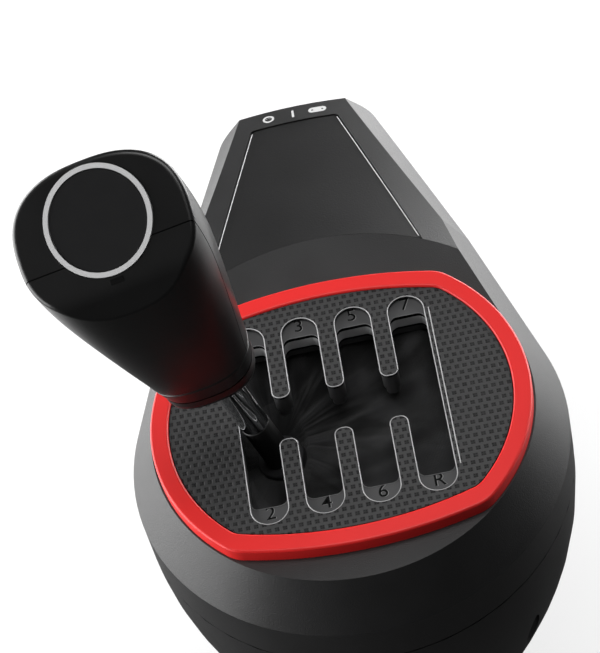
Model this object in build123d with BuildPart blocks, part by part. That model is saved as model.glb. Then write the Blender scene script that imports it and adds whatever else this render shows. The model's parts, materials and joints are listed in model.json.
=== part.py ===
import os
from math import atan, cos, degrees, pi, radians, sin, sqrt, tan

from build123d import *

# A seven-speed gear shifter for driving games, in millimetres.
# It stands on Z = 0, the driver sits on the -Y side and the nose points to +Y.

# Overall
body_height = 158.0  # base pad to the top face of the gate plate
wall = 3.0
overrun = 5.0  # how far cutting shapes pass the faces they cut
fit_gap = 0.3  # between parts that only lie beside each other
running_gap = 0.05  # radial, in every bearing

# Body plan: a drum whose sides run on as two straight tapering lines to the nose
drum_radius = 76.7
nose_reach = 172.0  # drum axis to the curved back face
nose_taper = 16.5  # degrees, each side
nose_corner_radius = 7.0
deck_drop = 4.5  # gate plate down to the flat deck around it
deck_radius = 66.5
rim_drop = 22.5  # gate plate down to the crease where bevel meets wall
crown_radius = 80.5  # the deck ends on this arc, and the nose falls away behind it
nose_back_drop = 28.5  # gate plate down to the top edge of the back face
nose_crease_drop = 37.0
nose_bevel_width = 8.5
parting_drop = 39.0
belly_drop = 66.0  # gate plate down to the underside of the nose
belly_draft = 9.0  # degrees
reveal = 0.8  # shadow groove along the parting line

# Bucket under the drum
base_radius = 46.0
base_step = 1.0  # base plate set in from the bucket's foot
bucket_mid_radius = 65.2
bucket_mid_drop = 102.0
bucket_foot_flare_share = 0.42  # run per rise where the bucket meets the base

# Gate
column_pitch = 19.0
column_count = 4
slot_width = 13.0
channel_width = 18.0
plate_slot_length = 84.0  # slot in the top sheet, with a numbered shelf at each end
plate_slot_corner = 6.4
gear_slot_length = 69.0  # slot in the frame and the guide plate under the top sheet
gear_slot_corner = 3.0
finger_corner_radius = 2.6
plate_side_radius = 59.1
plate_end_reach = 49.0
plate_end_radius = 136.0
plate_corner_radius = 8.0
plate_thickness = 1.4
frame_flange_thickness = deck_drop - plate_thickness
frame_depth = 8.0  # gate plate's top face down to the underside of the gate frame
frame_well_x = 86.0
frame_well_y = 80.0
frame_well_radius = 9.0
guide_plate_thickness = 2.6
guide_slot_relief = 0.7  # each side, for the leaning lever

# Trim ring round the gate
ring_side_radius = 65.8
ring_end_reach = 56.0
ring_end_radius = 158.0
ring_corner_radius = 12.0
ring_proud = 0.6
ring_edge_radius = 0.9

# Inset panel on the nose
panel_inset = 6.4  # from the nose's top edges
panel_back_inset = 10.5
panel_depth = 1.6
panel_thickness = 1.2
panel_groove = 0.5
panel_corner_radius = 2.1

# Lever, measured up its own axis from the select pivot
select_pivot_drop = 126.7  # gate plate down to the side-to-side pivot
shift_pivot_height = 64.2  # side-to-side pivot up to the fore-and-aft pivot
rod_radius = 5.0
rod_start = 72.0
rod_knob_reach = 60.0  # how far the rod runs up inside the knob
neck_height = 106.0
neck_ring_thickness = 5.0
neck_ring_radius = 8.6
knob_foot_height = 166.6
gate_mid_drop = 3.2  # the lever passes each column's centre at this depth

# Knob: soft square sections, each with its height over the knob's foot, half width and half depth
knob_sections = (
    (12.6, 18.0, 14.2),
    (24.0, 20.3, 16.0),
    (36.0, 22.8, 17.6),
    (48.0, 25.3, 18.8),
    (60.0, 27.6, 19.4),
    (70.0, 28.8, 19.6),
    (86.0, 29.0, 19.6),
    (110.0, 28.0, 19.2),
)
knob_squareness = 2.5
knob_outline_steps = 24
knob_setback = 4.0  # the knob's sections sit this far towards the driver from the rod
knob_collar_height = 5.6
knob_collar_width = 16.4
knob_collar_depth = 13.2
knob_collar_round = 3.6
knob_band_foot = 6.1
knob_band_top = 12.2
knob_band_edge = 0.5
knob_wall = 3.0
knob_floor = 8.0
knob_face_tilt = 35.5  # degrees, towards the driver
knob_face_height = 84.6  # knob foot up to the cap's centre
knob_face_setback = 1.8
knob_face_reach = 21.0  # cap's centre to where the face bends down towards the driver
knob_brow_tilt = 62.0
knob_brow_radius = 10.0
knob_rim_radius = 1.8
knob_seam = 0.3
knob_seam_depth = 0.8
knob_seam_setback = 10.0
cap_radius = 17.5
cap_ring_width = 1.6
cap_depth = 2.4
cap_proud = 0.4
knob_core_radius = 7.0

# Lever hub, cradle and pivots
pivot_pin_radius = 4.0
hub_radius = 11.0
hub_half_width = 13.0
cheek_thickness = 4.0
cheek_gap = 0.8
cheek_half_width = 11.0
rod_socket_radius = 8.5
rod_socket_height = 84.0
barrel_radius = 9.0
barrel_half_length = 25.0
cradle_floor_thickness = 6.0
ear_thickness = 6.0
ear_gap = 1.0
ear_half_width = 12.0
bracket_foot_thickness = 4.0
bracket_foot_half_width = 24.0
bush_wall = 1.4
bush_flange_radius = 7.0
pin_proud = 0.8  # past the outer face of what holds its bush
magnet_radius = 3.0
magnet_length = 2.5
drag_drum_radius = 20.0
drag_drum_width = 8.0
drag_drum_angle = 110.0
drag_shoe_radius = 3.9
drag_shoe_length = 8.0
drag_cushion_radius = 3.7
drag_tube_radius = 6.0
drag_tube_bore_radius = 4.0
drag_tube_gap = 4.0  # tube's mouth to the drum

# Hall sensor boards, each on two posts over the end of a pivot pin
sensor_board_length = 22.0
sensor_board_width = 16.0
sensor_board_thickness = 1.6
sensor_post_radius = 2.2
sensor_post_spacing = 16.0
sensor_chip_side = 4.0
sensor_chip_height = 1.0

# Base
base_pad_thickness = 2.0
base_plate_thickness = 6.0
base_pad_inset = 1.5
tongue_half_width = 24.0
tongue_reach = 118.0
tongue_corner_radius = 10.0
mount_hole_radius = 3.0
mount_hole_spacing = 72.0
mount_relief_radius = 6.0

# Table clamp under the nose
screw_reach = 99.0  # drum axis to the clamp screw
screw_radius = 5.0
journal_radius = 4.0
clamp_web_thickness = 5.0
clamp_web_half_width = 20.0
clamp_web_front = 75.5
clamp_foot_front = 56.0
clamp_foot_thickness = 5.0
clamp_flange_thickness = 6.0
clamp_flange_back = 111.0
clamp_corner_radius = 4.0
nose_pad_thickness = 3.0
nose_pad_front = 114.0
nose_pad_back = 158.0
nose_pad_half_width = 19.0
table_gap = 40.0
jaw_thickness = 8.0
jaw_half_width = 27.0
jaw_back = 162.0
jaw_pad_thickness = 3.0
jaw_corner_radius = 9.0
jaw_hub_radius = 10.0
jaw_hub_drop = 8.0
jaw_rib_thickness = 3.0
jaw_rib_offset = 15.0
jaw_rib_tip = 1.5
wheel_radius = 16.5
wheel_height = 11.0
wheel_lobes = 8
wheel_scallop_radius = 4.5
wheel_scallop_share = 1.14  # scallop centres from the wheel's axis, per wheel radius
wheel_edge_radius = 1.2

# Board and sockets in the nose
board_thickness = 1.6
board_half_width = 17.0
board_front = 96.0
board_back = 164.0
board_post_radius = 2.5
board_post_inset = 4.0
board_lift = 6.0  # above the floor of the nose
socket_offset = 9.8  # each side of the centre line
usb_width = 9.0
usb_height = 3.3
usb_length = 8.6
usb_wall = 0.4
usb_depth = 7.0
usb_tongue_width = 6.7
usb_tongue_thickness = 0.7
din_side = 14.0
din_length = 12.0
din_bore_radius = 4.7
din_bore_depth = 8.0
din_nose_radius = 5.3
din_hole_radius = 5.6
socket_recess = 1.2

# Screws
boss_radius = 4.4
boss_hole_radius = 1.5
boss_inset = 3.4
nose_boss_inset = 7.4
nose_boss_back = 18.4  # back face to the nose's screw bosses
boss_shoulder = 5.0
boss_depth = 14.0
case_screw_head_radius = 2.8
case_screw_head_height = 2.2
case_screw_bite = 10.0
frame_screw_radius = 2.0
frame_screw_head_radius = 3.6
frame_screw_head_height = 2.6
frame_screw_bite = 5.0
gate_screw_spacing_x = 98.0
gate_screw_spacing_y = 36.0
gate_screw_bite = 2.5
flange_screw_offset = 13.0
flange_screw_reach = 87.0
flange_boss_height = 7.0
screw_clearance = 0.25

# Gaiter
gaiter_fold_count = 18
gaiter_fold_shares = (0.01, 0.05, 0.1)  # fold depth per radius at rim, middle and neck
gaiter_thickness = 1.0
gaiter_x = 79.0
gaiter_y = 76.0
gaiter_squareness = 4.0
gaiter_middle_share = 0.55  # middle section's size and drift, between rim and neck
gaiter_sag_share = 0.75  # middle section's depth, between rim and neck
gaiter_neck_radius = 7.0

# Worked out
deck_z = body_height - deck_drop
rim_z = body_height - rim_drop
parting_z = body_height - parting_drop
belly_z = body_height - belly_drop
nose_back_z = body_height - nose_back_drop
base_z = base_pad_thickness
base_top_z = base_z + base_plate_thickness
select_z = body_height - select_pivot_drop
outer_column_x = column_pitch * (column_count - 1) / 2
lever_lean = degrees(atan(outer_column_x / (select_pivot_drop - gate_mid_drop)))
frame_low_z = body_height - frame_depth
guide_low_z = frame_low_z - guide_plate_thickness

# The lever rests in neutral in the left column, so its planes lean to -X
lean_sin, lean_cos = sin(radians(lever_lean)), cos(radians(lever_lean))
lever_base = Plane(origin=(0, 0, select_z), x_dir=(lean_cos, 0, lean_sin), z_dir=(-lean_sin, 0, lean_cos))
lever_front = Plane(origin=lever_base.origin, x_dir=lever_base.x_dir, z_dir=(0, -1, 0))
lever_side = Plane(origin=lever_base.origin, x_dir=(0, 1, 0), z_dir=lever_base.x_dir)
lever_axis = Axis(lever_base.origin, lever_base.z_dir)

os.makedirs("parts", exist_ok=True)


def finish(builder, label):
    builder.part.label = label
    export_step(builder.part, f"parts/{label}.step")


# Outlines shared by several pieces
def body_plan(plane, inset):
    side_radius, back_reach = drum_radius - inset, nose_reach - inset
    along = sqrt(back_reach**2 - side_radius**2)
    run, rise = sin(radians(nose_taper)), cos(radians(nose_taper))
    shoulder = (side_radius * rise, side_radius * run)
    corner = (shoulder[0] - along * run, shoulder[1] + along * rise)
    with BuildSketch(plane) as outline:
        with BuildLine():
            ThreePointArc((-shoulder[0], shoulder[1]), (0, -side_radius), shoulder)
            Line(shoulder, corner)
            ThreePointArc(corner, (0, back_reach), (-corner[0], corner[1]))
            Line((-corner[0], corner[1]), (-shoulder[0], shoulder[1]))
        make_face()
        fillet(outline.vertices().sort_by(Axis.Y)[-2:], nose_corner_radius - inset)
    return outline.sketch


def clipped_disc(plane, side_radius, end_reach, end_radius, corner_radius):
    with BuildSketch(plane) as outline:
        Circle(side_radius)
        with Locations((0, end_reach - end_radius)):
            Circle(end_radius, mode=Mode.INTERSECT)
        with Locations((0, end_radius - end_reach)):
            Circle(end_radius, mode=Mode.INTERSECT)
        fillet(outline.vertices(), corner_radius)
    return outline.sketch


def gate_slots(plane, slot_length, end_radius, relief=0):
    width = slot_width + 2 * relief
    with BuildSketch(plane) as slots:
        with GridLocations(column_pitch, 0, column_count, 1):
            RectangleRounded(width, slot_length, end_radius)
        Rectangle(column_pitch * (column_count - 1) + width, channel_width)
        tips = slots.vertices().filter_by_position(Axis.Y, -channel_width / 2, channel_width / 2)
        fillet(tips.filter_by_position(Axis.X, -outer_column_x, outer_column_x), finger_corner_radius - relief)
    return slots.sketch


# The nose tapers on straight lines that touch the drum's circle
def nose_half_width(y, side_radius):
    return side_radius / cos(radians(nose_taper)) - y * tan(radians(nose_taper))


def bevel_section(y, outer, inner, crest_z, crease_z, low_z):
    lean = (outer - inner) / (crest_z - crease_z)
    foot = outer + lean * overrun
    head = inner - lean * overrun
    right = [(foot, low_z), (foot, crease_z - overrun), (head, crest_z + overrun)]
    left = [(-x, z) for x, z in reversed(right)]
    with BuildSketch(Plane.XZ.offset(-y)) as section:
        Polygon(*right, *left, align=None)
    return section.sketch


# The upper body's form: the revolved crown, cut to the body plan, inside the bevels
def top_form(inset):
    low_z = parting_z - 3 * overrun
    crest_z = deck_z - inset
    crease_z = rim_z - inset
    drum = drum_radius - inset
    deck = deck_radius - inset
    lean = (drum - deck) / (crest_z - crease_z)
    tangent_y = drum * sin(radians(nose_taper))
    tangent_inner = sqrt(deck**2 - tangent_y**2)
    crown_outer = nose_half_width(crown_radius, drum)
    back_outer = nose_half_width(nose_reach, drum)
    with BuildPart() as bevels:
        with BuildSketch(Plane.XZ):
            Polygon(
                (0, low_z),
                (drum + lean * overrun, low_z),
                (drum + lean * overrun, crease_z - overrun),
                (deck - lean * overrun, crest_z + overrun),
                (0, crest_z + overrun),
                align=None,
            )
        revolve(axis=Axis.Z)
        tangent_outer = nose_half_width(tangent_y, drum)
        crown_inner = crown_outer - (drum - deck)
        add(bevel_section(tangent_y, tangent_outer, tangent_inner, crest_z, crease_z, low_z))
        add(bevel_section(crown_radius, crown_outer, crown_inner, crest_z, crease_z, low_z))
        add(
            bevel_section(
                nose_reach,
                back_outer,
                back_outer - nose_bevel_width,
                nose_back_z - inset,
                body_height - nose_crease_drop - inset,
                low_z,
            )
        )
        loft(ruled=True)
    fall = (deck_z - nose_back_z) / (nose_reach - crown_radius)
    with BuildPart() as form:
        with BuildSketch(Plane.XZ):
            Polygon(
                (0, low_z),
                (nose_reach + overrun, low_z),
                (nose_reach + overrun, nose_back_z - inset - fall * overrun),
                (crown_radius, crest_z),
                (0, crest_z),
                align=None,
            )
        revolve(axis=Axis.Z)
        add(body_plan(Plane.XY.offset(parting_z), inset))
        extrude(amount=parting_drop, mode=Mode.INTERSECT)
        add(bevels.part, mode=Mode.INTERSECT)
    return form.part


# The lower body's form: the revolved bucket and the drafted belly of the nose
def lower_form(inset):
    with BuildPart() as form:
        with BuildSketch(Plane.XZ):
            with BuildLine():
                wall_line = Spline(
                    (base_radius - inset, base_top_z),
                    (bucket_mid_radius - inset, body_height - bucket_mid_drop),
                    (drum_radius - inset, parting_z),
                    tangents=((bucket_foot_flare_share, 1), (0, 1)),
                )
                Polyline(wall_line @ 1, (0, parting_z), (0, base_top_z), wall_line @ 0)
            make_face()
        revolve(axis=Axis.Z)
        add(body_plan(Plane.XY.offset(parting_z), inset))
        extrude(amount=belly_drop - parting_drop - inset, dir=(0, 0, -1), taper=belly_draft)
    return form.part


# Where the case screws go: four round the drum and two in the nose
drum_boss_reach = (drum_radius - wall - boss_inset) / sqrt(2)
nose_boss_reach = nose_reach - nose_boss_back
nose_boss_x = nose_half_width(nose_boss_reach, drum_radius) - wall - nose_boss_inset
boss_places = [(side * drum_boss_reach, end * drum_boss_reach) for side in (-1, 1) for end in (-1, 1)]
boss_places += [(-nose_boss_x, nose_boss_reach), (nose_boss_x, nose_boss_reach)]
gate_screw_places = [
    (side * gate_screw_spacing_x / 2, end * gate_screw_spacing_y / 2) for side in (-1, 1) for end in (-1, 1)
]
flange_screw_places = [(-flange_screw_offset, flange_screw_reach), (flange_screw_offset, flange_screw_reach)]
well_radius = case_screw_head_radius + screw_clearance
shoulder_z = parting_z - reveal - boss_shoulder

# Upper shell: deck, bevels and nose top, down to the parting line
panel_reach = nose_reach - panel_back_inset


def panel_plan(plane, grow):
    back_x = nose_half_width(panel_reach, drum_radius) - nose_bevel_width - panel_inset + grow
    front_x = nose_half_width(crown_radius, drum_radius) - (drum_radius - deck_radius) - panel_inset + grow
    front_reach = crown_radius - grow
    front_y = sqrt(front_reach**2 - front_x**2)
    back_reach = panel_reach + grow
    back_y = sqrt(back_reach**2 - back_x**2)
    with BuildSketch(plane) as outline:
        with BuildLine():
            ThreePointArc((-front_x, front_y), (0, front_reach), (front_x, front_y))
            Line((front_x, front_y), (back_x, back_y))
            ThreePointArc((back_x, back_y), (0, back_reach), (-back_x, back_y))
            Line((-back_x, back_y), (-front_x, front_y))
        make_face()
        fillet(outline.vertices().sort_by(Axis.Y)[-2:], panel_corner_radius)
    return outline.sketch


# A band that follows the nose's falling top face, from one depth under it to another
def crown_band(top_depth, low_depth):
    fall = (deck_z - nose_back_z) / (nose_reach - crown_radius)
    far = nose_reach + overrun
    far_drop = fall * (far - crown_radius)
    with BuildPart() as band:
        with BuildSketch(Plane.XZ):
            Polygon(
                (0, deck_z - top_depth),
                (crown_radius, deck_z - top_depth),
                (far, deck_z - top_depth - far_drop),
                (far, deck_z - low_depth - far_drop),
                (crown_radius, deck_z - low_depth),
                (0, deck_z - low_depth),
                align=None,
            )
        revolve(axis=Axis.Z)
    return band.part


with BuildPart() as panel_recess:
    add(crown_band(-overrun, panel_depth))
    add(panel_plan(Plane.XY.offset(parting_z), 0))
    extrude(amount=parting_drop, mode=Mode.INTERSECT)

with BuildPart() as top_bosses:
    with BuildSketch(Plane.XY.offset(parting_z)):
        with Locations(*boss_places):
            Circle(boss_radius)
    extrude(amount=parting_drop)
    add(top_form(wall / 2), mode=Mode.INTERSECT)

with BuildPart() as top_shell:
    add(top_form(0))
    add(top_form(wall), mode=Mode.SUBTRACT)
    add(panel_recess.part, mode=Mode.SUBTRACT)
    with BuildSketch(Plane.XY.offset(deck_z)):
        RectangleRounded(frame_well_x, frame_well_y, frame_well_radius)
    extrude(amount=wall, both=True, mode=Mode.SUBTRACT)
    with BuildSketch(Plane.XY.offset(deck_z)):
        with Locations(*gate_screw_places):
            Circle(frame_screw_radius)
    extrude(amount=-wall, mode=Mode.SUBTRACT)
    add(top_bosses.part)
    with BuildSketch(Plane.XY.offset(parting_z)):
        with Locations(*boss_places):
            Circle(boss_hole_radius)
    extrude(amount=boss_depth, mode=Mode.SUBTRACT)
finish(top_shell, "top_shell")

with BuildPart() as nose_panel:
    add(crown_band(panel_depth - panel_thickness, panel_depth))
    add(panel_plan(Plane.XY.offset(parting_z), -panel_groove))
    extrude(amount=parting_drop, mode=Mode.INTERSECT)
finish(nose_panel, "nose_panel")

# Lower shell: bucket and belly, open below over the base plate
board_z = belly_z + wall + board_lift
socket_z = board_z + board_thickness
din_z = socket_z + din_side / 2
usb_z = socket_z + usb_height / 2 + usb_wall
board_post_x = board_half_width - board_post_inset
board_post_ends = (board_front + board_post_inset, nose_pad_back - board_post_inset)
board_post_places = [(side * board_post_x, y) for side in (-1, 1) for y in board_post_ends]
usb_outer_width = usb_width + 2 * usb_wall
usb_outer_height = usb_height + 2 * usb_wall


def back_face_reach(x, z):
    reach = nose_reach - (parting_z - z) * tan(radians(belly_draft))
    return sqrt(reach**2 - x**2)


with BuildPart() as lower_bosses:
    with BuildSketch(Plane.XY.offset(parting_z - reveal)):
        with Locations(*boss_places):
            Circle(boss_radius)
    extrude(amount=parting_z - reveal - base_top_z, dir=(0, 0, -1))
    add(lower_form(wall / 2), mode=Mode.INTERSECT)

with BuildPart() as reveal_groove:
    add(body_plan(Plane.XY.offset(parting_z), -wall))
    extrude(amount=reveal, dir=(0, 0, -1))
    add(body_plan(Plane.XY.offset(parting_z), reveal))
    extrude(amount=reveal, dir=(0, 0, -1), mode=Mode.SUBTRACT)

with BuildPart() as lower_shell:
    add(lower_form(0))
    add(lower_form(wall), mode=Mode.SUBTRACT)
    add(reveal_groove.part, mode=Mode.SUBTRACT)
    add(lower_bosses.part)
    with BuildSketch(Plane.XY.offset(parting_z)):
        with Locations(*boss_places):
            Circle(boss_hole_radius + screw_clearance)
    extrude(amount=parting_drop, dir=(0, 0, -1), mode=Mode.SUBTRACT)
    with BuildSketch(Plane.XY.offset(shoulder_z)):
        with Locations(*boss_places):
            Circle(well_radius)
    extrude(amount=shoulder_z - base_top_z, dir=(0, 0, -1), mode=Mode.SUBTRACT)
    with BuildSketch(Plane.XY.offset(belly_z + wall)):
        with Locations(*board_post_places):
            Circle(board_post_radius)
    extrude(amount=board_lift)
    with BuildSketch(Plane.XY.offset(belly_z + wall)):
        with Locations(*flange_screw_places):
            Circle(boss_radius)
    extrude(amount=flange_boss_height)
    with BuildSketch(Plane.XY.offset(belly_z)):
        with Locations(*flange_screw_places):
            Circle(frame_screw_radius)
    extrude(amount=wall + frame_screw_bite, mode=Mode.SUBTRACT)
    with BuildSketch(Plane.XZ.offset(-board_back)):
        with Locations((-socket_offset, din_z)):
            Circle(din_hole_radius)
        with Locations((socket_offset, usb_z)):
            SlotOverall(usb_outer_width + 2 * screw_clearance, usb_outer_height + 2 * screw_clearance)
    extrude(amount=board_back - nose_reach - wall, mode=Mode.SUBTRACT)
finish(lower_shell, "lower_shell")


# Base plate, with a tongue to the rear that carries the foot of the table clamp
def base_outline(plane, inset):
    with BuildSketch(plane) as outline:
        Circle(base_radius - base_step - inset)
        with Locations((0, (tongue_reach - inset) / 2)):
            Rectangle(2 * (tongue_half_width - inset), tongue_reach - inset)
        fillet(outline.vertices().sort_by(Axis.Y)[-2:], tongue_corner_radius)
    return outline.sketch


bracket_screw_x = (bracket_foot_half_width + ear_half_width) / 2
bracket_screw_places = [(-bracket_screw_x, 0), (bracket_screw_x, 0)]

with BuildPart() as base_plate:
    add(base_outline(Plane.XY.offset(base_z), 0))
    extrude(amount=base_plate_thickness)
    with BuildSketch(Plane.XY.offset(base_z)):
        with GridLocations(mount_hole_spacing, 0, 2, 1):
            Circle(mount_hole_radius)
        with Locations((0, screw_reach)):
            Circle(journal_radius + running_gap)
        with Locations(*bracket_screw_places):
            Circle(frame_screw_radius)
    extrude(amount=base_plate_thickness, mode=Mode.SUBTRACT)
finish(base_plate, "base_plate")

with BuildPart() as base_pad:
    add(base_outline(Plane.XY, base_pad_inset))
    extrude(amount=base_pad_thickness)
    with BuildSketch(Plane.XY):
        with GridLocations(mount_hole_spacing, 0, 2, 1):
            Circle(mount_relief_radius)
    extrude(amount=base_pad_thickness, mode=Mode.SUBTRACT)
finish(base_pad, "base_pad")


# Gate: a frame let into the deck, a guide plate under it, a top sheet and the ring round them
def plate_outline(plane, gap):
    side, reach = plate_side_radius + gap, plate_end_reach + gap
    return clipped_disc(plane, side, reach, plate_end_radius + gap, plate_corner_radius + gap)


def ring_outline(plane):
    return clipped_disc(plane, ring_side_radius, ring_end_reach, ring_end_radius, ring_corner_radius)


def well_outline(plane, gap):
    with BuildSketch(plane) as outline:
        RectangleRounded(frame_well_x - 2 * gap, frame_well_y - 2 * gap, frame_well_radius - gap)
    return outline.sketch


with BuildPart() as gate_frame:
    add(plate_outline(Plane.XY.offset(deck_z), 0))
    extrude(amount=frame_flange_thickness)
    add(well_outline(Plane.XY.offset(frame_low_z), fit_gap))
    extrude(amount=deck_z - frame_low_z)
    add(gate_slots(Plane.XY.offset(frame_low_z), gear_slot_length, gear_slot_corner))
    extrude(amount=frame_depth, mode=Mode.SUBTRACT)
    with BuildSketch(Plane.XY.offset(deck_z)):
        with Locations(*gate_screw_places):
            Circle(frame_screw_radius)
    extrude(amount=gate_screw_bite, mode=Mode.SUBTRACT)
finish(gate_frame, "gate_frame")

with BuildPart() as guide_plate:
    add(well_outline(Plane.XY.offset(guide_low_z), fit_gap))
    extrude(amount=guide_plate_thickness)
    add(gate_slots(Plane.XY.offset(guide_low_z), gear_slot_length, gear_slot_corner, guide_slot_relief))
    extrude(amount=guide_plate_thickness, mode=Mode.SUBTRACT)
finish(guide_plate, "guide_plate")

with BuildPart() as gate_plate:
    add(plate_outline(Plane.XY.offset(body_height - plate_thickness), 0))
    extrude(amount=plate_thickness)
    add(gate_slots(Plane.XY.offset(body_height - plate_thickness), plate_slot_length, plate_slot_corner))
    extrude(amount=plate_thickness, mode=Mode.SUBTRACT)
finish(gate_plate, "gate_plate")

with BuildPart() as trim_ring:
    add(ring_outline(Plane.XY.offset(deck_z)))
    extrude(amount=deck_drop + ring_proud)
    add(plate_outline(Plane.XY.offset(deck_z), fit_gap))
    extrude(amount=deck_drop + ring_proud, mode=Mode.SUBTRACT)
    fillet(trim_ring.edges().group_by(Axis.Z)[-1], ring_edge_radius)
finish(trim_ring, "trim_ring")

# Gimbal: a bracket on the base plate carries the select pin in two flanged bushes
bush_radius = pivot_pin_radius + running_gap + bush_wall
ear_near = barrel_half_length + ear_gap
ear_far = ear_near + ear_thickness
bush_flange_y = barrel_half_length + fit_gap
pin_end_y = ear_far + pin_proud
sensor_near = magnet_length + fit_gap + sensor_chip_height  # pin end to the board


def flanged_bush(plane, length, flange_length):
    with BuildPart() as bush:
        with BuildSketch(plane):
            Circle(bush_radius)
        extrude(amount=length)
        with BuildSketch(plane):
            Circle(bush_flange_radius)
        extrude(amount=flange_length)
        with BuildSketch(plane):
            Circle(pivot_pin_radius + running_gap)
        extrude(amount=length, mode=Mode.SUBTRACT)
    return bush.part


# A board on two posts, its chip facing the magnet; plane lies on the face that carries the posts
def sensor_posts(plane, post_length):
    with BuildPart() as posts:
        with BuildSketch(plane):
            with GridLocations(sensor_post_spacing, 0, 2, 1):
                Circle(sensor_post_radius)
        extrude(amount=post_length)
    return posts.part


def sensor_board(plane):
    with BuildPart() as board:
        with BuildSketch(plane):
            Rectangle(sensor_board_length, sensor_board_width)
        extrude(amount=sensor_board_thickness)
        with BuildSketch(plane):
            Rectangle(sensor_chip_side, sensor_chip_side)
        extrude(amount=-sensor_chip_height)
    return board.part


select_axis = Plane(origin=(0, 0, select_z), x_dir=(1, 0, 0), z_dir=(0, -1, 0))
select_post_length = pin_proud + sensor_near
back_face = Plane(origin=(0, ear_far, select_z), x_dir=(1, 0, 0), z_dir=(0, 1, 0))

with BuildPart() as gimbal_bracket:
    with BuildSketch(Plane.XY.offset(base_top_z)):
        RectangleRounded(2 * bracket_foot_half_width, 2 * ear_far, bracket_foot_thickness)
        with Locations(*bracket_screw_places):
            Circle(frame_screw_radius, mode=Mode.SUBTRACT)
    extrude(amount=bracket_foot_thickness)
    for ear_y in (ear_near, -ear_far):
        with BuildSketch(Plane.XZ.offset(-ear_y)):
            with Locations((0, select_z)):
                Circle(ear_half_width)
            with Locations((0, (select_z + base_top_z) / 2)):
                Rectangle(2 * ear_half_width, select_z - base_top_z)
            with Locations((0, select_z)):
                Circle(bush_radius, mode=Mode.SUBTRACT)
        extrude(amount=-ear_thickness)
    add(sensor_posts(back_face, select_post_length))
finish(gimbal_bracket, "gimbal_bracket")

with BuildPart() as select_bush_back:
    add(flanged_bush(select_axis.offset(-bush_flange_y), bush_flange_y - ear_far, bush_flange_y - ear_near))
finish(select_bush_back, "select_bush_back")

with BuildPart() as select_bush_front:
    add(mirror(select_bush_back.part, about=Plane.XZ))
finish(select_bush_front, "select_bush_front")

with BuildPart() as select_sensor_board:
    add(sensor_board(back_face.offset(select_post_length)))
finish(select_sensor_board, "select_sensor_board")

# Cradle: swings from side to side and holds the fore-and-aft pivot between two cheeks
cheek_near = hub_half_width + cheek_gap
cheek_far = cheek_near + cheek_thickness
shift_pin_end = cheek_far + pin_proud
shift_post_length = pin_proud + sensor_near
floor_top = barrel_radius + cradle_floor_thickness
drum_foot = shift_pivot_height - drag_drum_radius
right_face = Plane(
    origin=lever_base.offset(shift_pivot_height).origin + lever_base.x_dir * cheek_far,
    x_dir=(0, 1, 0),
    z_dir=lever_base.x_dir,
)

with BuildPart() as select_cradle:
    with BuildSketch(lever_front.offset(-barrel_half_length)):
        Circle(barrel_radius)
    extrude(amount=2 * barrel_half_length)
    with BuildSketch(lever_side.offset(-cheek_far)):
        with Locations((0, floor_top / 2)):
            Rectangle(2 * cheek_half_width, floor_top)
    extrude(amount=2 * cheek_far)
    for cheek_x in (cheek_near, -cheek_far):
        with BuildSketch(lever_side.offset(cheek_x)):
            with Locations((0, shift_pivot_height / 2)):
                Rectangle(2 * cheek_half_width, shift_pivot_height)
            with Locations((0, shift_pivot_height)):
                Circle(cheek_half_width)
                Circle(bush_radius, mode=Mode.SUBTRACT)
        extrude(amount=cheek_thickness)
    with BuildSketch(lever_front.offset(-barrel_half_length)):
        Circle(pivot_pin_radius)
    extrude(amount=2 * barrel_half_length, mode=Mode.SUBTRACT)
    with BuildSketch(lever_base.offset(floor_top)):
        Circle(drag_tube_radius)
        Circle(drag_tube_bore_radius, mode=Mode.SUBTRACT)
    extrude(amount=drum_foot - drag_tube_gap - floor_top)
    add(sensor_posts(right_face, shift_post_length))
finish(select_cradle, "select_cradle")

with BuildPart() as select_pin:
    with BuildSketch(select_axis.offset(-pin_end_y)):
        Circle(pivot_pin_radius)
    extrude(amount=2 * pin_end_y)
finish(select_pin, "select_pin")

with BuildPart() as select_magnet:
    with BuildSketch(select_axis.offset(-pin_end_y)):
        Circle(magnet_radius)
    extrude(amount=-magnet_length)
finish(select_magnet, "select_magnet")

bush_flange_x = hub_half_width + fit_gap
shift_axis = right_face.offset(-cheek_far)
with BuildPart() as shift_bush_right:
    add(flanged_bush(shift_axis.offset(bush_flange_x), cheek_far - bush_flange_x, cheek_near - bush_flange_x))
finish(shift_bush_right, "shift_bush_right")

with BuildPart() as shift_bush_left:
    add(mirror(shift_bush_right.part, about=shift_axis))
finish(shift_bush_left, "shift_bush_left")

with BuildPart() as shift_sensor_board:
    add(sensor_board(right_face.offset(shift_post_length)))
finish(shift_sensor_board, "shift_sensor_board")

with BuildPart() as drag_shoe:
    with BuildSketch(lever_base.offset(drum_foot - drag_shoe_length)):
        Circle(drag_shoe_radius)
    extrude(amount=2 * drag_shoe_length)
    with BuildSketch(shift_axis):
        Circle(drag_drum_radius + running_gap)
    extrude(amount=hub_half_width, both=True, mode=Mode.SUBTRACT)
    split(bisect_by=lever_base.offset(drum_foot + drag_shoe_radius / 2), keep=Keep.BOTTOM)
finish(drag_shoe, "drag_shoe")

with BuildPart() as drag_cushion:
    with BuildSketch(lever_base.offset(floor_top)):
        Circle(drag_cushion_radius)
    extrude(amount=drum_foot - drag_shoe_length - floor_top)
finish(drag_cushion, "drag_cushion")

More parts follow.
